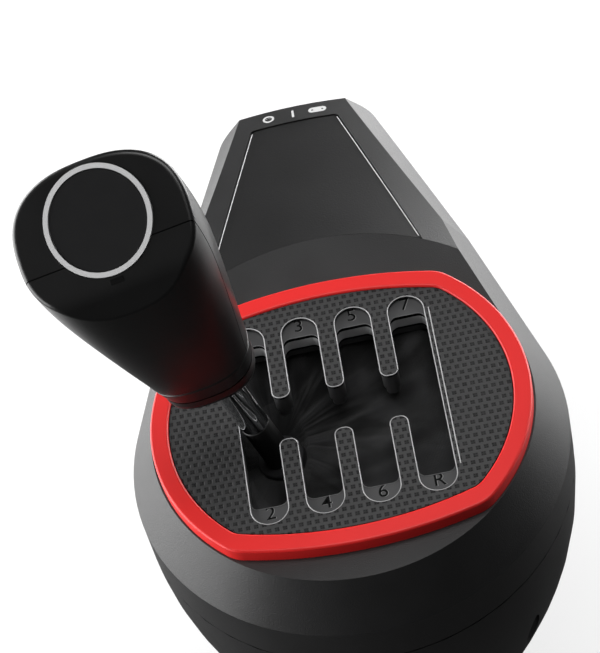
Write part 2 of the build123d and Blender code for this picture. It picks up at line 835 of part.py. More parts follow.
# Lever: hub with the drum that the drag shoe rubs on, and the chromed rod
with BuildPart() as lever_hub:
    with BuildSketch(shift_axis.offset(-hub_half_width)):
        Circle(hub_radius)
    extrude(amount=2 * hub_half_width)
    with BuildSketch(shift_axis.offset(-drag_drum_width / 2)) as drum_sector:
        Circle(drag_drum_radius)
        Rectangle(
            2 * drag_drum_radius * sin(radians(drag_drum_angle / 2)),
            drag_drum_radius,
            align=(Align.CENTER, Align.MAX),
            mode=Mode.INTERSECT,
        )
    extrude(amount=drag_drum_width)
    with BuildSketch(lever_base.offset(shift_pivot_height)):
        Circle(rod_socket_radius)
    extrude(amount=rod_socket_height - shift_pivot_height)
    with BuildSketch(shift_axis.offset(-hub_half_width)):
        Circle(pivot_pin_radius)
    extrude(amount=2 * hub_half_width, mode=Mode.SUBTRACT)
    with BuildSketch(lever_base.offset(rod_start)):
        Circle(rod_radius)
    extrude(amount=rod_socket_height - rod_start, mode=Mode.SUBTRACT)
finish(lever_hub, "lever_hub")

with BuildPart() as shift_pin:
    with BuildSketch(shift_axis.offset(-shift_pin_end)):
        Circle(pivot_pin_radius)
    extrude(amount=2 * shift_pin_end)
finish(shift_pin, "shift_pin")

with BuildPart() as shift_magnet:
    with BuildSketch(shift_axis.offset(shift_pin_end)):
        Circle(magnet_radius)
    extrude(amount=magnet_length)
finish(shift_magnet, "shift_magnet")

rod_top = knob_foot_height + rod_knob_reach
with BuildPart() as lever_rod:
    with BuildSketch(lever_base.offset(rod_start)):
        Circle(rod_radius)
    extrude(amount=rod_top - rod_start)
finish(lever_rod, "lever_rod")

with BuildPart() as neck_ring:
    with BuildSketch(lever_base.offset(neck_height - neck_ring_thickness / 2)):
        Circle(neck_ring_radius)
        Circle(rod_radius, mode=Mode.SUBTRACT)
    extrude(amount=neck_ring_thickness)
    chamfer(neck_ring.edges().filter_by(GeomType.CIRCLE).sort_by(SortBy.RADIUS)[-2:], knob_band_edge)
finish(neck_ring, "neck_ring")

# Knob: two moulded halves round a core, on a band and a collar, with a tilted cap on top
shell_low = knob_foot_height + knob_sections[0][0]
core_low = shell_low + knob_floor
seam_plane = lever_front.offset(knob_seam_setback)
face_tilt, brow_tilt = radians(knob_face_tilt), radians(knob_brow_tilt)
face_normal = lever_base.z_dir * cos(face_tilt) - Vector(0, sin(face_tilt), 0)


def knob_face_plane(depth):
    middle = lever_base.offset(knob_foot_height + knob_face_height).origin - Vector(0, knob_face_setback, 0)
    return Plane(origin=middle - face_normal * depth, x_dir=lever_base.x_dir, z_dir=face_normal)


def soft_square(height, half_width, half_depth):
    level = lever_base.offset(height).origin - Vector(0, knob_setback, 0)
    corners = []
    for step in range(knob_outline_steps):
        turn = 2 * pi * step / knob_outline_steps
        spread = (abs(cos(turn)) ** knob_squareness + abs(sin(turn)) ** knob_squareness) ** (-1 / knob_squareness)
        corners.append((half_width * spread * cos(turn), half_depth * spread * sin(turn)))
    with BuildSketch(Plane(origin=level, x_dir=lever_base.x_dir, z_dir=lever_base.z_dir)) as section:
        with BuildLine():
            Spline(*corners, periodic=True)
        make_face()
    return section.sketch


# Towards the driver the flat face bends down on a steeper plane
def knob_brow_plane(depth):
    face_slope = Vector(0, cos(face_tilt), 0) + lever_base.z_dir * sin(face_tilt)
    bend = knob_face_plane(0).origin - face_slope * knob_face_reach
    brow_normal = lever_base.z_dir * cos(brow_tilt) - Vector(0, sin(brow_tilt), 0)
    return Plane(origin=bend - brow_normal * depth, x_dir=lever_base.x_dir, z_dir=brow_normal)


def knob_form(inset, face_inset, foot_height, rim_radius):
    with BuildPart() as form:
        for height, half_width, half_depth in knob_sections:
            add(soft_square(knob_foot_height + height, half_width - inset, half_depth - inset))
        loft()
        if foot_height > shell_low:
            split(bisect_by=lever_base.offset(foot_height), keep=Keep.TOP)
        split(bisect_by=knob_face_plane(face_inset), keep=Keep.BOTTOM)
        split(bisect_by=knob_brow_plane(inset), keep=Keep.BOTTOM)
        bend = form.edges().filter_by(GeomType.LINE).sort_by(lever_axis)[-1]
        fillet(bend, knob_brow_radius - inset)
        if rim_radius:
            side_edges = form.faces().filter_by(GeomType.BSPLINE).edges()
            top_edges = form.faces().filter_by(GeomType.BSPLINE, reverse=True).sort_by(lever_axis)[1:].edges()
            fillet([edge for edge in side_edges if edge in top_edges], rim_radius)
    return form.part


# A shallow groove marks where the two halves meet
with BuildPart() as seam_groove:
    with BuildSketch(seam_plane.offset(-knob_seam / 2)):
        with Locations((0, shell_low + knob_sections[-1][0] / 2)):
            Rectangle(4 * knob_sections[-1][1], 2 * knob_sections[-1][0])
    extrude(amount=knob_seam)
    add(knob_form(knob_seam_depth, knob_seam_depth, shell_low - knob_floor, 0), mode=Mode.SUBTRACT)

with BuildPart() as knob_shells:
    add(knob_form(0, 0, shell_low, knob_rim_radius))
    add(knob_form(knob_wall, knob_wall + cap_depth, core_low, 0), mode=Mode.SUBTRACT)
    add(seam_groove.part, mode=Mode.SUBTRACT)
    with BuildSketch(knob_face_plane(0)):
        Circle(cap_radius + fit_gap)
    extrude(amount=-cap_depth, mode=Mode.SUBTRACT)
    with BuildSketch(lever_base.offset(shell_low)):
        Circle(rod_radius)
    extrude(amount=knob_floor, mode=Mode.SUBTRACT)

with BuildPart() as knob_front:
    add(knob_shells.part)
    split(bisect_by=seam_plane, keep=Keep.TOP)
finish(knob_front, "knob_front")

with BuildPart() as knob_back:
    add(knob_shells.part)
    split(bisect_by=seam_plane, keep=Keep.BOTTOM)
finish(knob_back, "knob_back")

with BuildPart() as knob_core:
    with BuildSketch(lever_base.offset(core_low)):
        Circle(knob_core_radius)
        Circle(rod_radius, mode=Mode.SUBTRACT)
    extrude(amount=rod_top - core_low)
finish(knob_core, "knob_core")

with BuildPart() as knob_band:
    add(soft_square(knob_foot_height + knob_band_foot, knob_collar_width, knob_collar_depth))
    add(soft_square(knob_foot_height + knob_band_top, knob_sections[0][1], knob_sections[0][2]))
    loft()
    chamfer(knob_band.faces().sort_by(lever_axis)[-1].edges(), knob_band_edge)
    with BuildSketch(lever_base.offset(knob_foot_height)):
        Circle(rod_radius)
    extrude(amount=2 * knob_band_top, mode=Mode.SUBTRACT)
finish(knob_band, "knob_band")

with BuildPart() as knob_collar:
    add(soft_square(knob_foot_height, knob_collar_width, knob_collar_depth))
    extrude(amount=knob_collar_height, dir=lever_base.z_dir)
    fillet(knob_collar.faces().sort_by(lever_axis)[0].edges(), knob_collar_round)
    with BuildSketch(lever_base.offset(knob_foot_height)):
        Circle(rod_radius)
    extrude(amount=knob_collar_height, mode=Mode.SUBTRACT)
finish(knob_collar, "knob_collar")

with BuildPart() as cap_ring:
    with BuildSketch(knob_face_plane(cap_depth)):
        Circle(cap_radius)
        Circle(cap_radius - cap_ring_width, mode=Mode.SUBTRACT)
    extrude(amount=cap_depth + cap_proud)
finish(cap_ring, "cap_ring")

with BuildPart() as cap_disc:
    with BuildSketch(knob_face_plane(cap_depth)):
        Circle(cap_radius - cap_ring_width - knob_seam)
    extrude(amount=cap_depth)
finish(cap_disc, "cap_disc")

# Gaiter: pleated cloth from the guide plate down to the ring on the lever
gaiter_points = 2 * gaiter_fold_count
neck_foot = neck_height + neck_ring_thickness / 2
neck_x = -lean_sin * neck_foot
neck_z = select_z + lean_cos * neck_foot + neck_ring_radius * lean_sin + fit_gap
gaiter_depth = guide_low_z - neck_z


def pleated_ring(plane, half_x, half_y, squareness, fold_share):
    corners = []
    for number in range(gaiter_points):
        angle = radians(360 * number / gaiter_points)
        fold = 1 - fold_share * (number % 2)
        spread = (abs(cos(angle)) ** squareness + abs(sin(angle)) ** squareness) ** (-1 / squareness)
        corners.append((half_x * spread * fold * cos(angle), half_y * spread * fold * sin(angle)))
    with BuildSketch(plane) as ring:
        Polygon(*corners, align=None)
    return ring.sketch


def gaiter_form(lift):
    rim_fold_share, middle_fold_share, neck_fold_share = gaiter_fold_shares
    rim_x, rim_y, neck = gaiter_x / 2, gaiter_y / 2, gaiter_neck_radius
    middle_x = neck + (rim_x - neck) * gaiter_middle_share
    middle_y = neck + (rim_y - neck) * gaiter_middle_share
    middle_z = guide_low_z - gaiter_depth * gaiter_sag_share
    middle_squareness = (gaiter_squareness + 2) / 2
    rim_plane = Plane.XY.offset(guide_low_z + lift)
    middle_plane = Plane(origin=(neck_x * gaiter_middle_share, 0, middle_z + lift))
    neck_plane = Plane(origin=(neck_x, 0, neck_z + lift))
    with BuildPart() as form:
        add(pleated_ring(rim_plane, rim_x, rim_y, gaiter_squareness, rim_fold_share))
        add(pleated_ring(middle_plane, middle_x, middle_y, middle_squareness, middle_fold_share))
        add(pleated_ring(neck_plane, neck, neck, 2, neck_fold_share))
        loft(ruled=True)
    return form.part


with BuildPart() as gaiter:
    add(gaiter_form(0))
    add(gaiter_form(gaiter_thickness), mode=Mode.SUBTRACT)
    split(bisect_by=Plane.XY.offset(guide_low_z), keep=Keep.BOTTOM)
    with BuildSketch(lever_base.offset(neck_foot)):
        Circle(rod_radius + fit_gap)
    extrude(amount=neck_ring_thickness, both=True, mode=Mode.SUBTRACT)
finish(gaiter, "gaiter")

# Board and sockets in the nose
with BuildPart() as circuit_board:
    with BuildSketch(Plane.XY.offset(board_z)):
        with Locations((0, (board_front + board_back) / 2)):
            Rectangle(2 * board_half_width, board_back - board_front)
    extrude(amount=board_thickness)
finish(circuit_board, "circuit_board")

usb_face_y = back_face_reach(socket_offset, usb_z) - socket_recess
with BuildPart() as usb_c_socket:
    with BuildSketch(Plane.XZ.offset(-(usb_face_y - usb_length))):
        with Locations((socket_offset, usb_z)):
            SlotOverall(usb_outer_width, usb_outer_height)
    extrude(amount=-usb_length)
    with BuildSketch(Plane.XZ.offset(-(usb_face_y - usb_depth))):
        with Locations((socket_offset, usb_z)):
            SlotOverall(usb_width, usb_height)
            Rectangle(usb_tongue_width, usb_tongue_thickness, mode=Mode.SUBTRACT)
    extrude(amount=-usb_depth, mode=Mode.SUBTRACT)
finish(usb_c_socket, "usb_c_socket")

din_face_y = back_face_reach(socket_offset, din_z) - socket_recess
din_box_back = back_face_reach(socket_offset + din_side / 2, socket_z) - wall - fit_gap
with BuildPart() as mini_din_socket:
    with BuildSketch(Plane.XZ.offset(-(din_box_back - din_length))):
        with Locations((-socket_offset, din_z)):
            Rectangle(din_side, din_side)
    extrude(amount=-din_length)
    with BuildSketch(Plane.XZ.offset(-din_box_back)):
        with Locations((-socket_offset, din_z)):
            Circle(din_nose_radius)
    extrude(amount=din_box_back - din_face_y)
    with BuildSketch(Plane.XZ.offset(-(din_face_y - din_bore_depth))):
        with Locations((-socket_offset, din_z)):
            Circle(din_bore_radius)
    extrude(amount=-din_bore_depth, mode=Mode.SUBTRACT)
finish(mini_din_socket, "mini_din_socket")

# Table clamp: a frame from the tongue up to the belly, a jaw that climbs a screw, and a hand wheel
flange_low_z = belly_z - clamp_flange_thickness
clamp_web_back = clamp_web_front + clamp_web_thickness
bush_outer_radius = journal_radius + running_gap + bush_wall

with BuildPart() as clamp_frame:
    with BuildSketch(Plane.YZ):
        Polygon(
            (clamp_foot_front, base_top_z),
            (clamp_web_back, base_top_z),
            (clamp_web_back, flange_low_z),
            (clamp_flange_back, flange_low_z),
            (clamp_flange_back, belly_z),
            (clamp_web_front, belly_z),
            (clamp_web_front, base_top_z + clamp_foot_thickness),
            (clamp_foot_front, base_top_z + clamp_foot_thickness),
            align=None,
        )
    extrude(amount=clamp_web_half_width, both=True)
    back_corners = clamp_frame.edges().filter_by(Axis.Z).sort_by(Axis.Y)[-2:]
    fillet(back_corners, clamp_corner_radius)
    with BuildSketch(Plane.XY.offset(flange_low_z)):
        with Locations((0, screw_reach)):
            Circle(bush_outer_radius)
        with Locations(*flange_screw_places):
            Circle(frame_screw_radius)
    extrude(amount=clamp_flange_thickness, mode=Mode.SUBTRACT)
finish(clamp_frame, "clamp_frame")

with BuildPart() as clamp_bush:
    with BuildSketch(Plane.XY.offset(flange_low_z)):
        with Locations((0, screw_reach)):
            Circle(bush_outer_radius)
            Circle(journal_radius + running_gap, mode=Mode.SUBTRACT)
    extrude(amount=clamp_flange_thickness)
finish(clamp_bush, "clamp_bush")

with BuildPart() as nose_pad:
    with BuildSketch(Plane.XY.offset(belly_z - nose_pad_thickness)):
        with Locations((0, (nose_pad_front + nose_pad_back) / 2)):
            RectangleRounded(2 * nose_pad_half_width, nose_pad_back - nose_pad_front, clamp_corner_radius)
    extrude(amount=nose_pad_thickness)
finish(nose_pad, "nose_pad")

wheel_low_z = base_top_z + fit_gap
with BuildPart() as clamp_screw:
    with BuildSketch(Plane.XY.offset(wheel_low_z)):
        with Locations((0, screw_reach)):
            Circle(screw_radius)
    extrude(amount=flange_low_z - fit_gap - wheel_low_z)
    with BuildSketch(Plane.XY.offset(base_z + fit_gap)):
        with Locations((0, screw_reach)):
            Circle(journal_radius)
    extrude(amount=belly_z - base_z - 2 * fit_gap)
finish(clamp_screw, "clamp_screw")

with BuildPart() as clamp_wheel:
    with BuildSketch(Plane.XY.offset(wheel_low_z)):
        with Locations((0, screw_reach)):
            Circle(wheel_radius)
            with PolarLocations(wheel_radius * wheel_scallop_share, wheel_lobes):
                Circle(wheel_scallop_radius, mode=Mode.SUBTRACT)
    extrude(amount=wheel_height)
    fillet(clamp_wheel.edges().group_by(Axis.Z)[-1], wheel_edge_radius)
    with BuildSketch(Plane.XY.offset(wheel_low_z)):
        with Locations((0, screw_reach)):
            Circle(screw_radius)
    extrude(amount=wheel_height, mode=Mode.SUBTRACT)
finish(clamp_wheel, "clamp_wheel")

jaw_pad_top = belly_z - nose_pad_thickness - table_gap
jaw_top_z = jaw_pad_top - jaw_pad_thickness
jaw_low_z = jaw_top_z - jaw_thickness
jaw_front = clamp_web_back + fit_gap
with BuildPart() as clamp_jaw:
    with BuildSketch(Plane.XY.offset(jaw_low_z)) as jaw_outline:
        with Locations((0, (clamp_web_front + jaw_back) / 2)):
            Rectangle(2 * jaw_half_width, jaw_back - clamp_web_front)
        fillet(jaw_outline.vertices().sort_by(Axis.Y)[-2:], jaw_corner_radius)
        with Locations((0, (clamp_web_front + jaw_front) / 2)):
            Rectangle(2 * (clamp_web_half_width + fit_gap), jaw_front - clamp_web_front, mode=Mode.SUBTRACT)
    extrude(amount=jaw_thickness)
    with BuildSketch(Plane.XY.offset(jaw_low_z - jaw_hub_drop)):
        with Locations((0, screw_reach)):
            Circle(jaw_hub_radius)
    extrude(amount=jaw_hub_drop)
    for rib_x in (-jaw_rib_offset, jaw_rib_offset):
        with BuildSketch(Plane.YZ.offset(rib_x)):
            Polygon(
                (jaw_front, jaw_low_z),
                (jaw_front, jaw_low_z - jaw_hub_drop),
                (screw_reach + jaw_hub_radius, jaw_low_z - jaw_hub_drop),
                (jaw_back - jaw_corner_radius, jaw_low_z - jaw_rib_tip),
                (jaw_back - jaw_corner_radius, jaw_low_z),
                align=None,
            )
        extrude(amount=jaw_rib_thickness / 2, both=True)
    with BuildSketch(Plane.XY.offset(jaw_low_z - jaw_hub_drop)):
        with Locations((0, screw_reach)):
            Circle(screw_radius + running_gap)
    extrude(amount=jaw_hub_drop + jaw_thickness, mode=Mode.SUBTRACT)
finish(clamp_jaw, "clamp_jaw")

with BuildPart() as jaw_pad:
    with BuildSketch(Plane.XY.offset(jaw_top_z)):
        with Locations((0, (nose_pad_front + nose_pad_back) / 2)):
            RectangleRounded(2 * nose_pad_half_width, nose_pad_back - nose_pad_front, clamp_corner_radius)
    extrude(amount=jaw_pad_thickness)
finish(jaw_pad, "jaw_pad")


# Screws, all driven upwards except the two that hold the gimbal bracket
def screw(place, seat_z, head_radius, head_height, radius, length):
    x, y = place
    with BuildPart() as fastener:
        with BuildSketch(Plane(origin=(x, y, seat_z))):
            Circle(head_radius)
        extrude(amount=-head_height if length > 0 else head_height)
        with BuildSketch(Plane(origin=(x, y, seat_z))):
            Circle(radius)
        extrude(amount=length)
    return fastener.part


for number, place in enumerate(boss_places, start=1):
    with BuildPart() as case_screw:
        add(
            screw(
                place,
                shoulder_z,
                case_screw_head_radius,
                case_screw_head_height,
                boss_hole_radius,
                boss_shoulder + reveal + case_screw_bite,
            )
        )
    finish(case_screw, f"case_screw_{number}")

for number, place in enumerate(gate_screw_places, start=1):
    with BuildPart() as gate_screw:
        add(
            screw(
                place,
                deck_z - wall,
                frame_screw_head_radius,
                frame_screw_head_height,
                frame_screw_radius,
                wall + gate_screw_bite,
            )
        )
    finish(gate_screw, f"gate_screw_{number}")

for number, place in enumerate(flange_screw_places, start=1):
    with BuildPart() as flange_screw:
        add(
            screw(
                place,
                flange_low_z,
                frame_screw_head_radius,
                frame_screw_head_height,
                frame_screw_radius,
                clamp_flange_thickness + wall + frame_screw_bite,
            )
        )
    finish(flange_screw, f"flange_screw_{number}")

for number, place in enumerate(bracket_screw_places, start=1):
    with BuildPart() as bracket_screw:
        add(
            screw(
                place,
                base_top_z + bracket_foot_thickness,
                frame_screw_head_radius,
                frame_screw_head_height,
                frame_screw_radius,
                -(bracket_foot_thickness + frame_screw_bite),
            )
        )
    finish(bracket_screw, f"bracket_screw_{number}")
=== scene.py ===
import json
import math

import bpy
from mathutils import Matrix, Vector


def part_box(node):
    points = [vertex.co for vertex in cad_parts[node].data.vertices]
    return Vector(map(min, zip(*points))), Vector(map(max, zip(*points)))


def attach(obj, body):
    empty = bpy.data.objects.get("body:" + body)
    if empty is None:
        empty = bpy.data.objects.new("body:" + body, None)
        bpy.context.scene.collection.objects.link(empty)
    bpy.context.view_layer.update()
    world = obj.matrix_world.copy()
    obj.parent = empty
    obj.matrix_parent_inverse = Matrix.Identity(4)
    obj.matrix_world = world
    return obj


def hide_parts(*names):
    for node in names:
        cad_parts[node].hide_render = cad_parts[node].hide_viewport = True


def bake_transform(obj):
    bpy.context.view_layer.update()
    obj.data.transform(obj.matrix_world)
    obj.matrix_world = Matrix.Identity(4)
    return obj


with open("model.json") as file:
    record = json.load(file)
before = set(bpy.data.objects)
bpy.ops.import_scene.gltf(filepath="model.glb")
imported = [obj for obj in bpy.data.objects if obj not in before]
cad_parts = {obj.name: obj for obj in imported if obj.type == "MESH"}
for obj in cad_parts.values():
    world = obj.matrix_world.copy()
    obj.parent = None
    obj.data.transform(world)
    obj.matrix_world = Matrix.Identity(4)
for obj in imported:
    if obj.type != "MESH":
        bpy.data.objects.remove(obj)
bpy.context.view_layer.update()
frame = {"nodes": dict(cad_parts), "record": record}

mm = 0.001
nodes = frame["nodes"]


# A socket that does sums: each operator adds a Math node to the material it belongs to
class Value:
    def __init__(self, paint, socket):
        self.paint, self.socket = paint, socket

    def maths(self, operation, first, second=0.0):
        return self.paint.node("ShaderNodeMath", {"operation": operation}, {0: first, 1: second})

    def __add__(self, other):
        return self.maths("ADD", self, other)

    def __radd__(self, other):
        return self.maths("ADD", other, self)

    def __sub__(self, other):
        return self.maths("SUBTRACT", self, other)

    def __rsub__(self, other):
        return self.maths("SUBTRACT", other, self)

    def __mul__(self, other):
        return self.maths("MULTIPLY", self, other)

    def __rmul__(self, other):
        return self.maths("MULTIPLY", other, self)

    def __truediv__(self, other):
        return self.maths("DIVIDE", self, other)

    def __mod__(self, other):
        return self.maths("FLOORED_MODULO", self, other)

    def __abs__(self):
        return self.maths("ABSOLUTE", self)

    def floor(self):
        return self.maths("FLOOR", self)

    def sine(self):
        return self.maths("SINE", self)

    def root(self):
        return self.maths("SQRT", self)

    def turnFrom(self, across):
        return self.maths("ARCTAN2", self, across)

    def most(self, other):
        return self.maths("MAXIMUM", self, other)


# A material under construction, with its shader and one way to add any node
class Paint:
    def __init__(self, name, look):
        self.material = bpy.data.materials.new(name)
        self.material.use_nodes = True
        self.tree = self.material.node_tree
        self.shader = self.tree.nodes["Principled BSDF"]
        self.material.diffuse_color = (*look["colour"], 1)
        self.set("Base Color", (*look["colour"], 1))
        self.set("Roughness", look["roughness"])
        for socket, key in (
            ("Metallic", "metal"),
            ("Coat Weight", "coat"),
            ("Coat Roughness", "coatRoughness"),
            ("Sheen Weight", "sheen"),
            ("Sheen Roughness", "sheenRoughness"),
            ("Specular IOR Level", "specular"),
        ):
            if key in look:
                self.set(socket, look[key])

    def node(self, kind, settings=None, sockets=None, out=0):
        made = self.tree.nodes.new(kind)
        for key, setting in (settings or {}).items():
            if key == "stops":
                for stop, (place, colour) in zip(made.color_ramp.elements, setting):
                    stop.position, stop.color = place, colour
            else:
                setattr(made, key, setting)
        for key, value in (sockets or {}).items():
            if isinstance(value, Value):
                self.tree.links.new(value.socket, made.inputs[key])
            else:
                made.inputs[key].default_value = value
        return Value(self, made.outputs[out])

    def set(self, socket, value):
        if isinstance(value, Value):
            self.tree.links.new(value.socket, self.shader.inputs[socket])
        else:
            self.shader.inputs[socket].default_value = value

    def place(self):
        return self.node("ShaderNodeTexCoord", out="Object")

    def axes(self):
        split = self.node("ShaderNodeSeparateXYZ", sockets={0: self.place()})
        return [Value(self, output) for output in split.socket.node.outputs]

    def noise(self, size, detail=2.0, roughness=0.5, stretch=(1, 1, 1)):
        spot = self.node("ShaderNodeVectorMath", {"operation": "MULTIPLY"}, {0: self.place(), 1: stretch})
        return self.node(
            "ShaderNodeTexNoise",
            sockets={"Vector": spot, "Scale": 1 / size, "Detail": detail, "Roughness": roughness},
            out="Fac",
        )

    def fade(self, amount, low, high):
        settings = {"interpolation_type": "SMOOTHSTEP"}
        return self.node("ShaderNodeMapRange", settings, {0: amount, 1: low, 2: high, 3: 0.0, 4: 1.0})

    # Blends two colours, each a triple or a socket
    def mix(self, amount, first, second):
        settings = {"data_type": "RGBA", "clamp_factor": True}
        ends = [colour if isinstance(colour, Value) else (*colour, 1) for colour in (first, second)]
        return self.node("ShaderNodeMix", settings, {0: amount, 6: ends[0], 7: ends[1]}, out=2)

    def relief(self, height, depth):
        sockets = {"Height": height, "Strength": 1.0, "Distance": depth}
        self.set("Normal", self.node("ShaderNodeBump", sockets=sockets))

    # Colour that wanders between a darker and a lighter shade of its own
    def tone(self, amount, colour, darker, lighter):
        self.set("Base Color", self.mix(amount, shade(colour, darker), shade(colour, lighter)))


def shade(colour, factor):
    return tuple(min(1.0, part * factor) for part in colour)


# Finishes: grain is the size of the finest marks, depth how far they go in
mouldedLooks = {
    "housing": {"colour": (0.012, 0.012, 0.0123), "roughness": 0.42, "grain": 0.5 * mm, "depth": 0.08 * mm},
    "panel": {
        "colour": (0.0055, 0.0055, 0.0057),
        "roughness": 0.5,
        "specular": 0.22,
        "grain": 0.7 * mm,
        "depth": 0.06 * mm,
    },
    "gateBody": {"colour": (0.045, 0.045, 0.046), "roughness": 0.42, "grain": 0.4 * mm, "depth": 0.03 * mm},
    "wheel": {"colour": (0.02, 0.02, 0.02), "roughness": 0.5, "grain": 0.5 * mm, "depth": 0.05 * mm},
    "knob": {"colour": (0.003, 0.003, 0.0031), "roughness": 0.3, "grain": 0.25 * mm, "depth": 0.012 * mm},
    "darkSteel": {"colour": (0.02, 0.02, 0.021), "roughness": 0.38, "grain": 0.8 * mm, "depth": 0.02 * mm},
    "rubber": {"colour": (0.014, 0.014, 0.014), "roughness": 0.75, "grain": 0.9 * mm, "depth": 0.08 * mm},
    "board": {"colour": (0.008, 0.09, 0.03), "roughness": 0.35, "grain": 2.0 * mm, "depth": 0.02 * mm},
    "sleeve": {"colour": (0.006, 0.006, 0.006), "roughness": 0.5, "grain": 0.6 * mm, "depth": 0.05 * mm},
    "socketBlack": {"colour": (0.01, 0.01, 0.01), "roughness": 0.28, "grain": 0.6 * mm, "depth": 0.01 * mm},
}
metalLooks = {
    "alloy": {"colour": (0.55, 0.55, 0.57), "roughness": 0.38, "metal": 1.0},
    "bronze": {"colour": (0.55, 0.36, 0.16), "roughness": 0.4, "metal": 1.0},
    "plated": {"colour": (0.52, 0.53, 0.55), "roughness": 0.3, "metal": 1.0},
}
mouldedWear = {"patch": 22 * mm, "darker": 0.88, "lighter": 1.14, "gloss": 0.1}
metalWear = {"streak": 0.5 * mm, "tarnish": 9 * mm, "darker": 0.8, "gloss": 0.08, "depth": 0.01 * mm}


# Moulded and painted surfaces: fine spark-eroded grain, with slow changes of tone and gloss
def mouldedFinish(name):
    look = mouldedLooks[name]
    paint = Paint(name, look)
    grain = paint.noise(look["grain"], 3, 0.6)
    handling = paint.noise(mouldedWear["patch"], 2)
    patches = paint.fade(handling, 0.3, 0.7)
    paint.tone(patches, look["colour"], mouldedWear["darker"], mouldedWear["lighter"])
    paint.set("Roughness", look["roughness"] - 0.04 + (handling * 0.6 + grain * 0.4) * mouldedWear["gloss"])
    paint.relief(grain, look["depth"])
    return paint.material


# Cast, turned or plated metal: fine streaks, uneven gloss
def metalFinish(name):
    look = metalLooks[name]
    paint = Paint(name, look)
    streaks = paint.noise(metalWear["streak"], 3, 0.6, (1, 1, 0.2))
    tarnish = paint.noise(metalWear["tarnish"], 3)
    paint.tone(tarnish, look["colour"], metalWear["darker"], 1.0)
    paint.set("Roughness", look["roughness"] - 0.06 + (streaks + tarnish) * metalWear["gloss"])
    paint.relief(streaks, metalWear["depth"])
    return paint.material


ringLook = {
    "colour": (0.68, 0.018, 0.017),
    "roughness": 0.36,
    "specular": 0.35,
    "peel": 0.9 * mm,
    "cloud": 30 * mm,
    "depth": 0.02 * mm,
}


# Satin red lacquer with faint orange peel
def ringFinish():
    paint = Paint("redLacquer", ringLook)
    peel = paint.noise(ringLook["peel"], 2)
    paint.tone(paint.noise(ringLook["cloud"], 2), ringLook["colour"], 0.93, 1.06)
    paint.set("Roughness", ringLook["roughness"] + peel * 0.06)
    paint.relief(peel, ringLook["depth"])
    return paint.material


gateLook = {
    "colour": (0.034, 0.034, 0.0345),
    # Colour of the painted shade in the dimples
    "dimpleShade": (0.004, 0.004, 0.0041),
    "specular": 0.35,
    "roughness": 0.42,
    "pitch": 2.7 * mm,
    "patch": 0.33,  # half side of each woven patch, per pitch
    "dot": 0.15,  # dot offset from the patch's middle, per pitch
    "uneven": 1.6 * mm,
    "grain": 0.35 * mm,
    "depth": 0.16 * mm,
}


# Top sheet of the gate: staggered patches of four dimples, like a coarse weave. The patches and dimples are painted
# dark, with their shine taken off, as painted shade in the dimples.
def gateFinish():
    paint = Paint("gateWeave", gateLook)
    x, y, z = paint.axes()
    row = y / gateLook["pitch"]
    across = x / gateLook["pitch"] + (row.floor() % 2) * 0.5
    alongPart = abs((across % 1) - 0.5)
    rowPart = abs((row % 1) - 0.5)
    patch = 1 - paint.fade(alongPart.most(rowPart), gateLook["patch"] - 0.07, gateLook["patch"] + 0.03)
    dotAcross = abs(alongPart - gateLook["dot"])
    dotAlong = abs(rowPart - gateLook["dot"])
    dimpleShade = 1 - paint.fade(dotAcross.most(dotAlong), 0.03, 0.1)
    uneven = paint.noise(gateLook["uneven"], 2)
    grain = paint.noise(gateLook["grain"], 2)
    # Painted shade: how dark each spot of the weave is painted, darkest in the dimples
    dark = patch * (0.6 + dimpleShade * 0.4) * (0.6 + uneven * 0.8)
    paint.set("Base Color", paint.mix(dark, gateLook["colour"], gateLook["dimpleShade"]))
    paint.set("Roughness", gateLook["roughness"] + dark * 0.2)
    paint.set("Metallic", dark * 0.85)  # takes the shine off the dimples
    paint.relief((1 - dark) * 0.8 + grain * 0.2, gateLook["depth"])
    return paint.material


chromeLook = {
    "colour": (0.82, 0.83, 0.84),
    "roughness": 0.045,
    "metal": 1.0,
    "polish": 3 * mm,
    "depth": 0.004 * mm,
}


# Bright plating of the lever's rod
def chromeFinish():
    paint = Paint("chrome", chromeLook)
    polish = paint.noise(chromeLook["polish"], 3, 0.5, (1, 1, 0.3))
    paint.set("Roughness", chromeLook["roughness"] + polish * 0.035)
    paint.tone(polish, chromeLook["colour"], 0.96, 1.0)
    paint.relief(polish, chromeLook["depth"])
    return paint.material


glossLook = {
    "colour": (0.011, 0.011, 0.0114),
    "roughness": 0.1,
    "coat": 0.6,
    "coatRoughness": 0.05,
    "smear": 6 * mm,
    "depth": 0.01 * mm,
}


# Piano black of the knob's cap, with faint smears
def glossFinish():
    paint = Paint("glossBlack", glossLook)
    smears = paint.noise(glossLook["smear"], 3)
    paint.set("Roughness", glossLook["roughness"] + smears * 0.08)
    paint.tone(smears, glossLook["colour"], 1.0, 1.2)
    paint.relief(smears, glossLook["depth"])
    return paint.material


clothLook = {
    "colour": (0.0065, 0.0065, 0.0068),
    # Painted shade between the folds and painted highlight along their tops, as factors on the cloth's colour
    "foldShade": 0.1,  # shade of the colour between the folds
    "litCrest": 4.4,  # and along their tops
    "roughness": 0.62,
    "sheen": 0.1,
    "specular": 0.3,
    "sheenRoughness": 0.5,
    "thread": 0.55 * mm,
    "nap": 1.2 * mm,
    "worn": 14 * mm,
    "drape": 11 * mm,
    "foot": (-25 * mm, 6 * mm),  # the folds fan out from here
    "fan": 2.9,
    "foldLength": 60 * mm,
    "gathered": (4 * mm, 19 * mm),  # distance over which the folds open
    "depth": 5 * mm,
}
